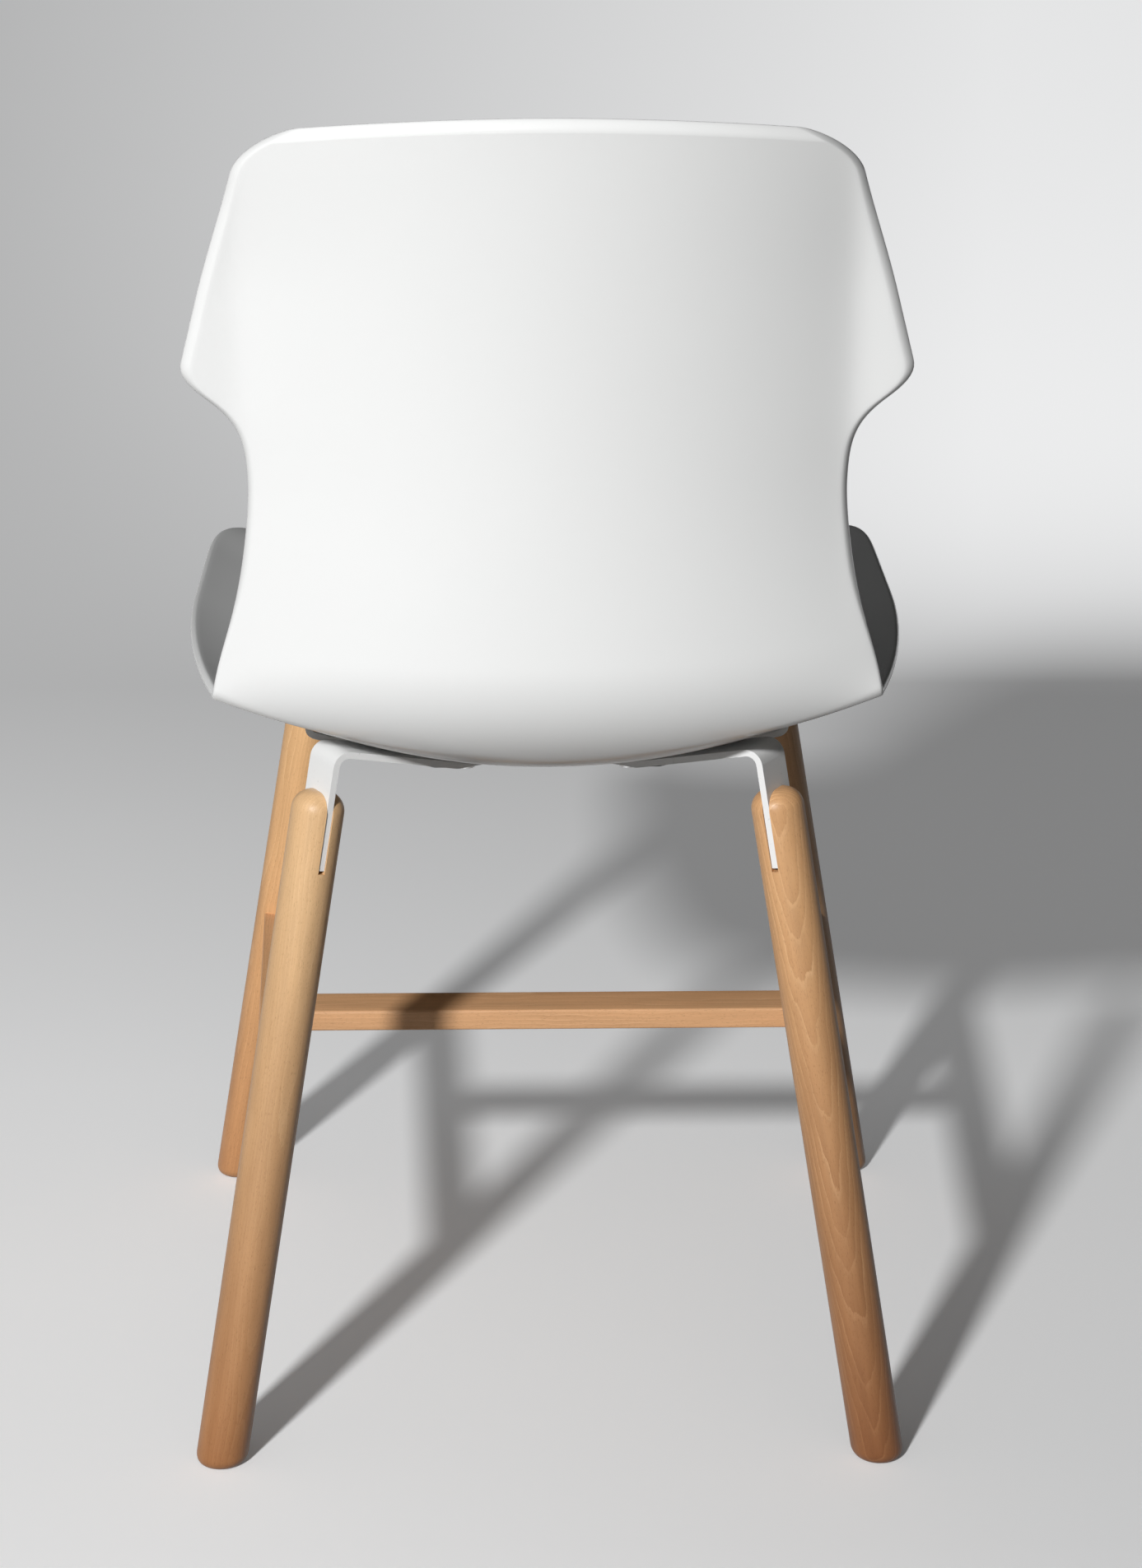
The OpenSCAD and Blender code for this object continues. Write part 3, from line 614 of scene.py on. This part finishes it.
def moulded_plastic(colours):
    """Glossy white plastic: faint cloudiness, a fine skin from the mould, and a rim dulled by hands."""
    f = Finish("moulded_plastic")
    place = f.own_place()
    cloud = f.noise(place, 9.0, 2.0)
    rub = f.noise(place, 60.0, 4.0, 0.6)
    skin = f.noise(place, 900.0, 2.0)
    rim = f.add("ShaderNodeAttribute", {}, "Fac", attribute_name="rim")
    worn = f.math("MULTIPLY", rim, f.span(rub, 0.42, 0.62))
    tone = f.blend(cloud, rgba(colours.shell, 0.985), rgba(colours.shell, 1.01))
    tone = f.blend(f.math("MULTIPLY", worn, 0.10), tone, rgba(colours.shell, 0.93))
    gloss = f.span(cloud, 0.3, 0.7, 0.20, 0.24)
    gloss = f.math("ADD", gloss, f.math("MULTIPLY", worn, 0.03))
    f.set(Base_Color=tone, Roughness=gloss, IOR=1.5)
    f.relief(skin, 0.00003, 0.5)
    return f.material


def powder_coat(colours):
    """White powder coat: orange peel, with a few specks."""
    f = Finish("powder_coat")
    place = f.own_place()
    peel = f.noise(place, 620.0, 2.0)
    speck = f.span(f.noise(place, 240.0, 2.0), 0.70, 0.76)
    tone = f.blend(f.math("MULTIPLY", speck, 0.35), rgba(colours.paint), rgba(colours.paint, 0.6))
    f.set(Base_Color=tone, Roughness=f.span(peel, 0.3, 0.7, 0.34, 0.44), IOR=1.5)
    f.relief(peel, 0.00006, 0.6)
    return f.material


WHITE = (1.0, 1.0, 1.0)
YEAR_TONE = [(0.0, 0.12), (0.30, 0.30), (0.80, 0.52), (0.90, 0.95), (0.97, 1.0), (1.0, 0.15)]
# Painted shade: the foot tint darkens the legs from the floor up to this height
FOOT_SHADE_REACH = 400.0            # height in millimetres up to which the foot's tint shows
FOOT_SHADE_STRAY = 60.0             # how far that height strays with the wood


def beech(name, colours, pith, lean, ring=2.3, figure=0.8, seed=0.0, tint=WHITE, foot=WHITE):
    """Beech with its year rings round a pith outside the piece, fibres and short dark flecks.

    pith is its place in the piece's own frame in millimetres, and lean how far it moves across
    for each millimetre along the wood; a lean draws the rings out into nested arches. YEAR_TONE
    is the tone over one ring, as stops of share and level. foot is a second tint at the floor:
    painted shade that darkens the wood towards the feet.
    """
    f = Finish(name)
    grain = f.add("ShaderNodeAttribute", {}, "Vector", attribute_name="grain")
    millimetres = f.vector("MULTIPLY", grain, (1000, 1000, 1000))
    place = f.vector("ADD", millimetres, (seed, -seed, 7 * seed))
    split = f.add("ShaderNodeSeparateXYZ", {0: millimetres}).node.outputs

    def noise(across, along, detail, roughness=0.5):
        """Noise with that many waves to a millimetre across and along the wood."""
        return f.noise(place, 1.0, detail, roughness, (across, across, along))

    sway = f.swing(noise(0.05, 0.011, 2.0), 7.0)
    ripple = f.swing(noise(0.35, 0.05, 3.0, 0.6), 0.9)
    away_x = f.math("ADD", f.math("SUBTRACT", split[0], pith[0]), f.math("MULTIPLY", split[2], lean[0]))
    away_y = f.math("ADD", f.math("SUBTRACT", split[1], pith[1]), f.math("MULTIPLY", split[2], lean[1]))
    reach = f.math("SQRT", f.math("ADD", f.math("POWER", away_x, 2.0), f.math("POWER", away_y, 2.0)))
    years = f.math("DIVIDE", f.math("ADD", f.math("ADD", reach, sway), ripple), ring)
    year_tone = f.steps(f.math("FRACT", years), YEAR_TONE)
    strength = f.span(noise(0.09, 0.02, 1.0), 0.35, 0.65, 0.35, 1.0)
    fibre = noise(1.7, 0.05, 4.0, 0.65)
    broad = noise(0.10, 0.012, 2.0)
    fleck = f.span(noise(2.4, 0.42, 2.0), 0.60, 0.70)
    tone = f.blend(f.span(broad, 0.3, 0.7), rgba(colours.beech, 0.92), rgba(colours.beech, 1.08))
    arch = f.math("MULTIPLY", f.math("SUBTRACT", year_tone, 0.35), f.math("MULTIPLY", strength, figure))
    tone = f.blend(f.span(arch, 0.0, 0.65), tone, rgba(colours.beech_pale))
    tone = f.blend(f.span(arch, 0.0, -0.25, 0.0, 0.30), tone, rgba(colours.beech_dark))
    tone = f.blend(f.span(fibre, 0.55, 0.85, 0.0, 0.35), tone, rgba(colours.beech_dark))
    tone = f.blend(f.span(fibre, 0.45, 0.20, 0.0, 0.30), tone, rgba(colours.beech_pale))
    tone = f.blend(f.math("MULTIPLY", fleck, 0.55), tone, rgba(colours.beech_dark))
    # Painted shade: the wood is darker towards the floor, through the foot tint
    height = f.math("ADD", split[2], f.math("MULTIPLY", broad, FOOT_SHADE_STRAY))
    clear_of_foot_shade = f.span(height, 0.0, FOOT_SHADE_REACH)
    tone = f.vector("MULTIPLY", tone, tint)
    tone = f.vector("MULTIPLY", tone, f.blend(clear_of_foot_shade, rgba(foot), rgba(WHITE)))
    f.set(Base_Color=tone, Roughness=f.span(fibre, 0.3, 0.7, 0.36, 0.48), IOR=1.45)
    f.relief(f.math("SUBTRACT", fibre, f.math("MULTIPLY", fleck, 0.6)), 0.00008, 0.7)
    return f.material


def zinc_steel(colours):
    """Plated steel with fine drawn scratches."""
    f = Finish("zinc_steel")
    place = f.own_place()
    scratch = f.noise(place, 400.0, 3.0, 0.6, (1, 1, 8))
    f.set(Base_Color=rgba(colours.steel), Metallic=1.0, Roughness=f.span(scratch, 0.3, 0.7, 0.28, 0.46))
    f.relief(scratch, 0.00002, 0.5)
    return f.material


def turned_brass(colours):
    """Brass with tool marks round it."""
    f = Finish("turned_brass")
    place = f.own_place()
    marks = f.noise(place, 900.0, 2.0)
    f.set(Base_Color=rgba(colours.brass), Metallic=1.0, Roughness=f.span(marks, 0.3, 0.7, 0.25, 0.4))
    f.relief(marks, 0.00002, 0.5)
    return f.material


# Painted light on the floor and backdrop: the glow below is emitted for camera and glossy rays
FAN_Y = 2.2                   # the glow fans out over the floor from a point behind the chair
NEAR_FAN = (0.13, -0.08)      # slopes from there at which the left and the right values are reached
FAR_FAN = (0.16, -0.13)       # the same for the backdrop
RAMP_Y = (0.3, -0.4)          # stretch along the chair over which the near glow climbs
RAMP_PAINTED_GLOW = (-0.03, 0.08)
# Painted light: the two spans below bound a pool of light painted round the chair
PAINTED_POOL_NEAR_Y = (0.3, -0.05)    # edges of the paler floor round the chair
PAINTED_POOL_FAR_Y = (-1.5, -1.0)


def studio_floor(colours, stage):
    """Matt painted floor that passes into a pale backdrop far behind the chair.

    The camera sees it pale, and the chair sees it darker, so that the chair's shaded sides stay
    dark. Its glow is painted light: the near floor gives off a glow that differs from left to right
    and climbs along the chair, and past fade_start the backdrop's glow comes in as
    1 - exp(-distance / fade), dimmer at the left of the rear view than at the right. A painted
    pool of light makes the floor round the chair paler.
    """
    f = Finish("studio_floor")
    place = f.own_place()
    split = f.add("ShaderNodeSeparateXYZ", {0: place}).node.outputs
    path = f.add("ShaderNodeLightPath", {}, "Is Camera Ray").node.outputs
    seen = f.math("MAXIMUM", path["Is Camera Ray"], path["Is Glossy Ray"])
    tone = f.blend(f.noise(place, 1.3, 3.0), rgba(colours.floor, 0.985), rgba(colours.floor, 1.015))
    # Painted pool of light: the floor round the chair is made paler where the camera sees it
    pool = f.math("MINIMUM", f.span(split[1], *PAINTED_POOL_NEAR_Y), f.span(split[1], *PAINTED_POOL_FAR_Y))
    tone = f.vector("MULTIPLY", tone, f.span(pool, 0.0, 1.0, 1.0, stage.pool))
    # Painted light: the floor's glow near the chair and the backdrop's glow behind it
    across = f.math("DIVIDE", split[0], f.math("SUBTRACT", FAN_Y, split[1]))
    beyond = f.math("MINIMUM", f.math("ADD", split[1], stage.fade_start), 0.0)
    fade = f.span(across, *NEAR_FAN, stage.fade_left, stage.fade_right)
    far = f.math("SUBTRACT", 1.0, f.math("EXPONENT", f.math("DIVIDE", beyond, fade)))
    side = f.span(across, *FAR_FAN, stage.painted_backdrop_left, stage.painted_backdrop_right)
    near = f.span(across, *NEAR_FAN, stage.painted_glow_left, stage.painted_glow_right)
    near = f.math("ADD", near, f.span(split[1], *RAMP_Y, *RAMP_PAINTED_GLOW))
    glow = f.math("ADD", f.math("MULTIPLY", far, side), near)
    f.set(Base_Color=f.blend(seen, rgba(colours.floor_bounce), tone), Roughness=0.75)
    f.set(Emission_Color=rgba(colours.floor), Emission_Strength=f.math("MULTIPLY", glow, seen))
    return f.material


def give(piece, material):
    """Puts one material on all of a piece."""
    piece.data.materials.clear()
    piece.data.materials.append(material)


# ---------------------------------------------------------------- pieces


SHELL_COLUMNS = 113
SEAT_ROWS = 97
BACK_ROWS = 151
CORNER_ROWS = 25              # over the rounded top corners
RIM_POINTS = 11
RIM_FULLNESS = 1.35           # how far the rim's curve follows the grids' edges, for a round rim
RUB_SHARE = 0.04              # of the grid, for the band beside the rim that hands rub


def shell_grid(form):
    """Grids of v and u, closer together at the fold, over the top corners and towards the sides."""
    t = np.linspace(-1, 1, SHELL_COLUMNS)
    u = t * (1.2 - 0.2 * t * t)
    corner = form.TOP_CORNER_H / (form.top_z - form.rim_z)
    w = np.linspace(1, 0, SEAT_ROWS)
    seat = 1 - w * (0.35 + 0.65 * w)
    w = np.linspace(0, 1, BACK_ROWS)[1:]
    back = 1 + (1 - corner) * w * (0.55 + 0.45 * w)
    top = 2 - corner * (1 - np.sin(np.linspace(0, math.pi / 2, CORNER_ROWS)[1:]))
    return np.meshgrid(np.concatenate([seat, back, top]), u, indexing="ij")


def shell_mesh(form):
    """Closed wall: the upper and the rear grid, joined round their border by a rounded rim.

    Across each point of the border the rim is a cubic curve that leaves both grids along their
    own surfaces, so that the wall's edge is round, slanted and without a seam.
    """
    v, u = shell_grid(form)
    upper = form.upper(*form.inset(u, v, form.rim_round))
    lower = form.lower(u, v, form.rim_round)
    a, b = perimeter(upper), perimeter(lower)
    corner_a = a + RIM_FULLNESS * (perimeter(form.upper(u, v)) - a)
    corner_b = b + RIM_FULLNESS * (perimeter(form.lower(u, v, 0.0)) - b)
    s = np.linspace(0, 1, RIM_POINTS)[1:-1, None, None]
    rim = (1 - s) ** 3 * a + 3 * (1 - s) ** 2 * s * corner_a + 3 * (1 - s) * s * s * corner_b + s**3 * b

    count = upper[..., 0].size
    index = np.arange(count).reshape(upper.shape[:2])
    rings = 2 * count + np.arange(rim[..., 0].size).reshape(rim.shape[:2])
    rings = np.concatenate([perimeter(index)[None], rings, perimeter(index + count)[None]])
    rings = np.concatenate([rings, rings[:, :1]], 1)
    faces = np.concatenate([quads(index), quads(index + count)[:, ::-1], quads(rings)])
    points = np.concatenate([upper.reshape(-1, 3), lower.reshape(-1, 3), rim.reshape(-1, 3)])
    mesh = bpy.data.meshes.new("moulded_shell")
    mesh.from_pydata(points, [], faces)
    near = np.minimum(1 - np.abs(u), np.minimum(v, 2 - v))
    on_grid = np.clip(1 - near.ravel() / RUB_SHARE, 0, 1)
    rub = np.concatenate([on_grid, on_grid, np.ones(rim[..., 0].size)])
    mesh.attributes.new("rim", "FLOAT", "POINT").data.foreach_set("value", rub.astype(np.float32))
    with editing(mesh) as work:
        bmesh.ops.recalc_face_normals(work, faces=work.faces)
    mesh.shade_smooth()
    return mesh


ARC_POINTS = 31
CHORD_POINTS = 17
DOME_POINTS = 14
FOOT_POINTS = 9
SHAFT_ROWS = 48
SHAFT_FROM = 0.03             # height of the shaft's first row, clear of the rounded foot
FOOT_LESS = 0.002             # the foot's rounding is this much narrower than high
BORE_FROM = 0.03              # the bores' plugs start this far inwards of the leg's axis


def prong(form, turn):
    """One half of the slotted top: D-shaped sections along the leg, shrinking over the dome to a point."""
    s = form.sizes
    shoulder = form.length - s.dome_r
    top_r = s.radius - s.dome_r
    a = np.linspace(0, math.pi / 2, DOME_POINTS)
    side = np.linspace(form.length - s.slot_depth, shoulder, 9)[:-1]
    flat = mix(top_r, s.slot_half_w, np.linspace(0, 1, 4)[1:])
    radius = np.concatenate([np.full(side.shape, s.radius), top_r + s.dome_r * np.cos(a), flat])
    height = np.concatenate([side, shoulder + s.dome_r * np.sin(a), np.full(flat.shape, form.length)])
    radius, height = radius[:, None], height[:, None]
    opening = np.arccos(np.clip(s.slot_half_w / radius, -1, 1))
    around = np.linspace(-1, 1, ARC_POINTS) * opening
    chord = np.linspace(1, -1, CHORD_POINTS)[1:-1] * radius * np.sin(opening)
    x = np.concatenate([radius * np.cos(around), np.full(chord.shape, s.slot_half_w)], 1)
    y = np.concatenate([radius * np.sin(around), chord], 1)
    return form.point(turn * x, turn * y, height)


def leg_mesh(name, form):
    """Turned leg: level foot with a rounded edge, round shaft, slot floor and two domed prongs."""
    s = form.sizes
    opening = math.acos(s.slot_half_w / s.radius)
    arc = np.linspace(-opening, opening, ARC_POINTS)
    ring = np.concatenate([arc, [math.pi / 2], arc + math.pi, [1.5 * math.pi]])
    rows = [form.level_ring(ring, 0.0, 0.0)]
    for a in np.linspace(0, math.pi / 2, FOOT_POINTS):
        radius = s.radius - (s.foot_r - FOOT_LESS) * (1 - math.sin(a))
        rows.append(form.level_ring(ring, s.foot_r * (1 - math.cos(a)), radius))
    shaft = np.linspace(SHAFT_FROM, form.length - s.slot_depth, SHAFT_ROWS)[:, None]
    rows = np.concatenate([rows, form.point(s.radius * np.cos(ring), s.radius * np.sin(ring), shaft)])
    across = np.array([1, 0, -1]) * s.slot_half_w
    along = np.linspace(1, -1, CHORD_POINTS)[:, None] * np.sqrt(s.radius**2 - across**2)
    slot_floor = form.point(np.broadcast_to(across, along.shape), along, form.length - s.slot_depth)
    prongs = [(prong(form, turn), True) for turn in (1, -1)]
    return patch_mesh(name, [(rows, True), (slot_floor, False), *prongs])


def bore_mesh(form):
    """Closed plugs that cut the sunk bores for the bolt heads, from the inner side of the leg."""
    s = form.sizes
    axes = np.stack([form.y, form.z, form.x])
    depth = s.bore_sink - s.radius
    profile = [(0, -BORE_FROM), (s.bore_r, -BORE_FROM), (s.bore_r, depth), (0, depth)]
    tops = [form.point(0.0, 0.0, form.length - drop) for drop in (s.first_bolt, s.second_bolt)]
    return patch_mesh("bores", [(turned(profile, top, axes), True) for top in tops])


def rounded_section(width, height, radius, corner_points=5, side_points=4):
    """Rectangle with round corners, once round."""
    w, h = width / 2 - radius, height / 2 - radius
    corners = [(w, h, 0.0), (-w, h, 0.5 * math.pi), (-w, -h, math.pi), (w, -h, 1.5 * math.pi)]
    a = np.linspace(0, 0.5 * math.pi, corner_points)
    arcs = [np.stack([x + radius * np.cos(a + b), y + radius * np.sin(a + b)], -1) for x, y, b in corners]
    points = []
    for this, following in zip(arcs, arcs[1:] + arcs[:1]):
        t = np.linspace(0, 1, side_points + 2)[1:-1, None]
        points += [this, mix(this[-1], following[0], t)]
    return np.concatenate(points)


def rail_mesh(name, section, origin, axes, ends, rows=40):
    """Section carried along a rail; ends gives where its points start and stop. Shrinking rings close it."""
    cap = [section * k for k in np.linspace(0, 1, 6)[:-1]]
    start, stop = ends(section)
    along = [ends(ring)[0] for ring in cap]
    along += [mix(start, stop, t) for t in np.linspace(0, 1, rows)]
    along += [ends(ring)[1] for ring in cap[::-1]]
    rings = np.stack(cap + [section] * rows + cap[::-1])
    local = np.concatenate([rings, np.stack(along)[..., None]], -1)
    mesh = patch_mesh(name, [(origin + local @ axes, True)])
    set_grain(mesh, origin, axes)
    return mesh


# ---------------------------------------------------------------- operators


def settings():
    """The chair's sizes and colours in this scene."""
    return bpy.context.scene.chair


class ChairSettings(bpy.types.PropertyGroup):
    """Everything that a user can change."""

    shell: group("Shell", "Sizes of the shell", ShellSizes)
    legs: group("Legs", "Sizes of the legs", LegSizes)
    rails: group("Rails", "Sizes of the rails", RailSizes)
    stage: group("Stage", "Camera, lamp and backdrop", StageSizes)
    colours: group("Colours", "Colours of the finishes", FinishColours)


class CHAIR_OT_shell(bpy.types.Operator):
    """Build the moulded shell"""

    bl_idname = "chair.shell"
    bl_label = "Moulded Shell"

    def execute(self, context):
        piece = link("moulded_shell", shell_mesh(ShellForm(settings().shell)))
        give(piece, moulded_plastic(settings().colours))
        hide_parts("seat_shell")
        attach(piece, BODY)
        return {"FINISHED"}


FLAT_BELOW = math.radians(0.5)  # bends under this are joined into one face


class CHAIR_OT_bracket(bpy.types.Operator):
    """Dress the steel bracket with softened edges and powder coat"""

    bl_idname = "chair.bracket"
    bl_label = "Steel Bracket"

    def execute(self, context):
        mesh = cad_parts["under_seat_bracket"].data.copy()
        mesh.name = "coated_bracket"
        close_up(mesh, 2e-6)
        with editing(mesh) as work:
            bmesh.ops.dissolve_limit(work, angle_limit=FLAT_BELOW, verts=work.verts, edges=work.edges)
        smooth(mesh, 30)
        piece = link("coated_bracket", mesh)
        soften(piece, settings().legs.edge, 3, 30)
        give(piece, powder_coat(settings().colours))
        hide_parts("under_seat_bracket")
        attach(piece, BODY)
        return {"FINISHED"}


# foot is painted shade on each leg, a darker tint towards the floor
LEG_WOOD = {
    "rear_leg_left": dict(
        pith=(0, 70), lean=(0.0, 0.012), ring=1.9, figure=0.35,
        tint=(1.12, 1.13, 1.11), foot=(0.50, 0.31, 0.20),
    ),
    "rear_leg_right": dict(
        pith=(-26, 46), lean=(0.030, -0.054), ring=2.2, figure=1.0,
        tint=(1.02, 0.90, 0.80), foot=(0.38, 0.24, 0.16),
    ),
    # Painted light: the front left leg's tint is raised above the other legs', a lit copy of the same beech
    "front_leg_left": dict(
        pith=(40, 60), lean=(0.01, 0.01), ring=2.4, figure=0.5,
        tint=(1.36, 1.29, 1.16), foot=(0.70, 0.53, 0.46),
    ),
    "front_leg_right": dict(
        pith=(30, 60), lean=(0.01, 0.02), ring=2.6, figure=0.6,
        tint=(0.95, 0.88, 0.82), foot=(0.72, 0.60, 0.55),
    ),
}
RAIL_WOOD = dict(lean=(0.004, 0.006), ring=2.1, figure=0.55, tint=(1.16, 1.02, 0.96))


class CHAIR_OT_legs(bpy.types.Operator):
    """Build the four turned legs"""

    bl_idname = "chair.legs"
    bl_label = "Beech Legs"

    def execute(self, context):
        sizes, colours = settings().legs, settings().colours
        for number, (node, wood) in enumerate(LEG_WOOD.items()):
            side = 1 if node.endswith("left") else -1
            form = LegForm(sizes, side, node.startswith("rear"))
            name = "turned_" + node
            piece = link(name, leg_mesh(name, form))
            cut_away(piece, bore_mesh(form))
            smooth(piece.data)
            set_grain(piece.data, form.foot, form.axes)
            soften(piece, sizes.edge)
            give(piece, beech("beech_" + node, colours, seed=31.0 * number, **wood))
            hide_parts(node)
            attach(piece, BODY)
        return {"FINISHED"}


def side_rail_line(chair, side):
    """Legs of a side, rear one first, and the ends of its rail's middle line on their axes."""
    legs = [LegForm(chair.legs, side, rear) for rear in (True, False)]
    height = chair.rails.top_z - chair.rails.side_h / 2
    return legs, [leg.point(0.0, 0.0, height / math.cos(leg.splay)) for leg in legs]


class CHAIR_OT_rails(bpy.types.Operator):
    """Build the stretcher's three rails"""

    bl_idname = "chair.rails"
    bl_label = "Stretcher Rails"

    def execute(self, context):
        chair = settings()
        self.side_rail(chair, "side_rail_left", 1, 65.0)
        self.side_rail(chair, "side_rail_right", -1, 78.0)
        self.cross_rail(chair, "cross_rail", 117.0)
        return {"FINISHED"}

    def side_rail(self, chair, node, side, seed):
        """Side rail: its ends are the legs' round skins."""
        (rear, front), (start, stop) = side_rail_line(chair, side)
        rails = chair.rails
        up = np.array([0.0, 0.0, 1.0])
        along = unit(stop - start)
        middle = (start + stop) / 2
        axes = np.stack([np.cross(along, up), up, along])

        def ends(ring):
            at = middle + ring @ axes[:2]
            return -rear.along_to_skin(at, -along), front.along_to_skin(at, along)

        section = rounded_section(rails.side_t, rails.side_h, rails.edge)
        mesh = rail_mesh("planed_" + node, section, middle, axes, ends)
        self.dress(node, mesh, chair.colours, (50, 5), seed)

    def cross_rail(self, chair, node, seed):
        """Cross rail: its ends are the planes of the side rails' inner faces."""
        rails = chair.rails
        start, stop = side_rail_line(chair, 1)[1]
        slope = (stop[0] - start[0]) / (stop[1] - start[1])
        face = rails.side_t / 2 * math.hypot(1, slope)
        origin = np.array([0.0, rails.cross_y, rails.top_z - rails.cross_h / 2])
        axes = np.array([[0.0, 1.0, 0.0], [0.0, 0.0, 1.0], [1.0, 0.0, 0.0]])

        def ends(ring):
            reach = start[0] + slope * (rails.cross_y + ring[:, 0] - start[1]) - face
            return -reach, reach

        section = rounded_section(rails.cross_d, rails.cross_h, rails.edge)
        mesh = rail_mesh("planed_" + node, section, origin, axes, ends)
        self.dress(node, mesh, chair.colours, (-14, 45), seed)

    def dress(self, node, mesh, colours, pith, seed):
        """Gives a rail its wood and its place on the frame."""
        smooth(mesh)
        piece = link("planed_" + node, mesh)
        give(piece, beech("beech_" + node, colours, pith, seed=seed, **RAIL_WOOD))
        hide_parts(node)
        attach(piece, BODY)


class CHAIR_OT_fasteners(bpy.types.Operator):
    """Finish the screws, washers, sleeves and dowels"""

    bl_idname = "chair.fasteners"
    bl_label = "Fasteners"

    def execute(self, context):
        colours = settings().colours
        steel, brass = zinc_steel(colours), turned_brass(colours)
        dowel = beech("beech_dowels", colours, (30, 30), (0.0, 0.0))
        finish = {
            "shell_screws": steel,
            "shell_screw_washers": steel,
            "leg_bolts": steel,
            "shell_inserts": brass,
            "leg_sleeve_nuts": brass,
            "side_rail_dowels": dowel,
            "cross_rail_dowels": dowel,
        }
        for node, material in finish.items():
            give(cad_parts[node], material)
        return {"FINISHED"}


LAMP_AIM = (0, 0, 0.45)
SKY_FROM = (0.62, 0.62, 0.48)
SKY_EDGE = -0.05              # cosine from there at which the sky's level reaches far_sky
FLOOR_REACH = 30.0


class CHAIR_OT_stage(bpy.types.Operator):
    """Set up the floor, the lamp, the sky and the camera"""

    bl_idname = "chair.stage"
    bl_label = "Stage"

    def execute(self, context):
        chair = settings()
        side = np.linspace(-FLOOR_REACH, FLOOR_REACH, 7)
        x, y = np.meshgrid(side, side)
        floor = link("floor", patch_mesh("floor", [(np.stack([x, y, 0 * x], -1), False)]))
        give(floor, studio_floor(chair.colours, chair.stage))
        self.lamp(context.scene, chair.stage)
        self.sky(context.scene, chair.stage)
        self.camera(context.scene, chair.stage)
        context.scene.view_settings.view_transform = "Standard"
        return {"FINISHED"}

    def lamp(self, scene, stage):
        """One soft lamp behind the chair, high at the left of the rear view."""
        data = bpy.data.lights.new("key_light", "AREA")
        data.shape = "DISK"
        data.size = stage.key_size
        data.energy = stage.key
        lamp = bpy.data.objects.new("key_light", data)
        scene.collection.objects.link(lamp)
        lamp.location = (stage.key_x, stage.key_y, stage.key_z)
        lamp.rotation_euler = (Vector(LAMP_AIM) - lamp.location).to_track_quat("-Z", "Y").to_euler()

    def sky(self, scene, stage):
        """World that is palest towards SKY_FROM, with an extra level where the camera sees it."""
        world = bpy.data.worlds.new("studio")
        scene.world = world
        world.use_nodes = True
        nodes, links = world.node_tree.nodes, world.node_tree.links
        way = nodes.new("ShaderNodeTexCoord")
        toward = nodes.new("ShaderNodeVectorMath")
        toward.operation = "DOT_PRODUCT"
        toward.inputs[1].default_value = SKY_FROM
        level = nodes.new("ShaderNodeMapRange")
        level.interpolation_type = "SMOOTHSTEP"
        level.inputs["From Min"].default_value = SKY_EDGE
        level.inputs["To Min"].default_value = stage.far_sky
        level.inputs["To Max"].default_value = stage.sky
        path = nodes.new("ShaderNodeLightPath")
        seen = nodes.new("ShaderNodeMath")
        seen.operation = "MULTIPLY_ADD"
        seen.inputs[1].default_value = stage.seen_sky
        links.new(way.outputs["Generated"], toward.inputs[0])
        links.new(toward.outputs["Value"], level.inputs["Value"])
        links.new(path.outputs["Is Camera Ray"], seen.inputs[0])
        links.new(level.outputs["Result"], seen.inputs[2])
        links.new(seen.outputs["Value"], nodes["Background"].inputs["Strength"])
        nodes["Background"].inputs["Color"].default_value = (1.0, 1.0, 1.0, 1.0)

    def camera(self, scene, stage):
        """Camera behind the chair, looking down along -Y."""
        data = bpy.data.cameras.new("camera")
        data.lens = stage.lens
        data.sensor_width = 36.0
        camera = bpy.data.objects.new("camera", data)
        scene.collection.objects.link(camera)
        camera.location = (stage.camera_x, stage.camera_y, stage.camera_z)
        level = math.cos(stage.pitch)
        view = Vector((math.sin(stage.yaw) * level, -math.cos(stage.yaw) * level, -math.sin(stage.pitch)))
        camera.rotation_euler = view.to_track_quat("-Z", "Y").to_euler()
        scene.camera = camera


BUILD_STEPS = (
    CHAIR_OT_stage, CHAIR_OT_shell, CHAIR_OT_bracket, CHAIR_OT_legs, CHAIR_OT_rails, CHAIR_OT_fasteners
)


class CHAIR_PT_panel(bpy.types.Panel):
    """Lists the chair's build steps"""

    bl_idname = "CHAIR_PT_panel"
    bl_label = "Dining Chair"
    bl_space_type = "VIEW_3D"
    bl_region_type = "UI"
    bl_category = "Chair"

    def draw(self, context):
        for step in BUILD_STEPS:
            self.layout.operator(step.bl_idname, text=step.bl_label)


SIZE_GROUPS = (ShellSizes, LegSizes, RailSizes, StageSizes, FinishColours, ChairSettings)
CLASSES = (*SIZE_GROUPS, *BUILD_STEPS, CHAIR_PT_panel)


def register():
    """Registers the classes, and the settings on the scene."""
    for each in CLASSES:
        bpy.utils.register_class(each)
    bpy.types.Scene.chair = group("Chair", "Dining chair", ChairSettings)


def unregister():
    """Takes the settings and the classes away again."""
    del bpy.types.Scene.chair
    for each in reversed(CLASSES):
        bpy.utils.unregister_class(each)


def main():
    """Builds the chair and its stage."""
    register()
    bpy.ops.chair.stage()
    bpy.ops.chair.shell()
    bpy.ops.chair.bracket()
    bpy.ops.chair.legs()
    bpy.ops.chair.rails()
    bpy.ops.chair.fasteners()


if __name__ == "__main__":
    main()
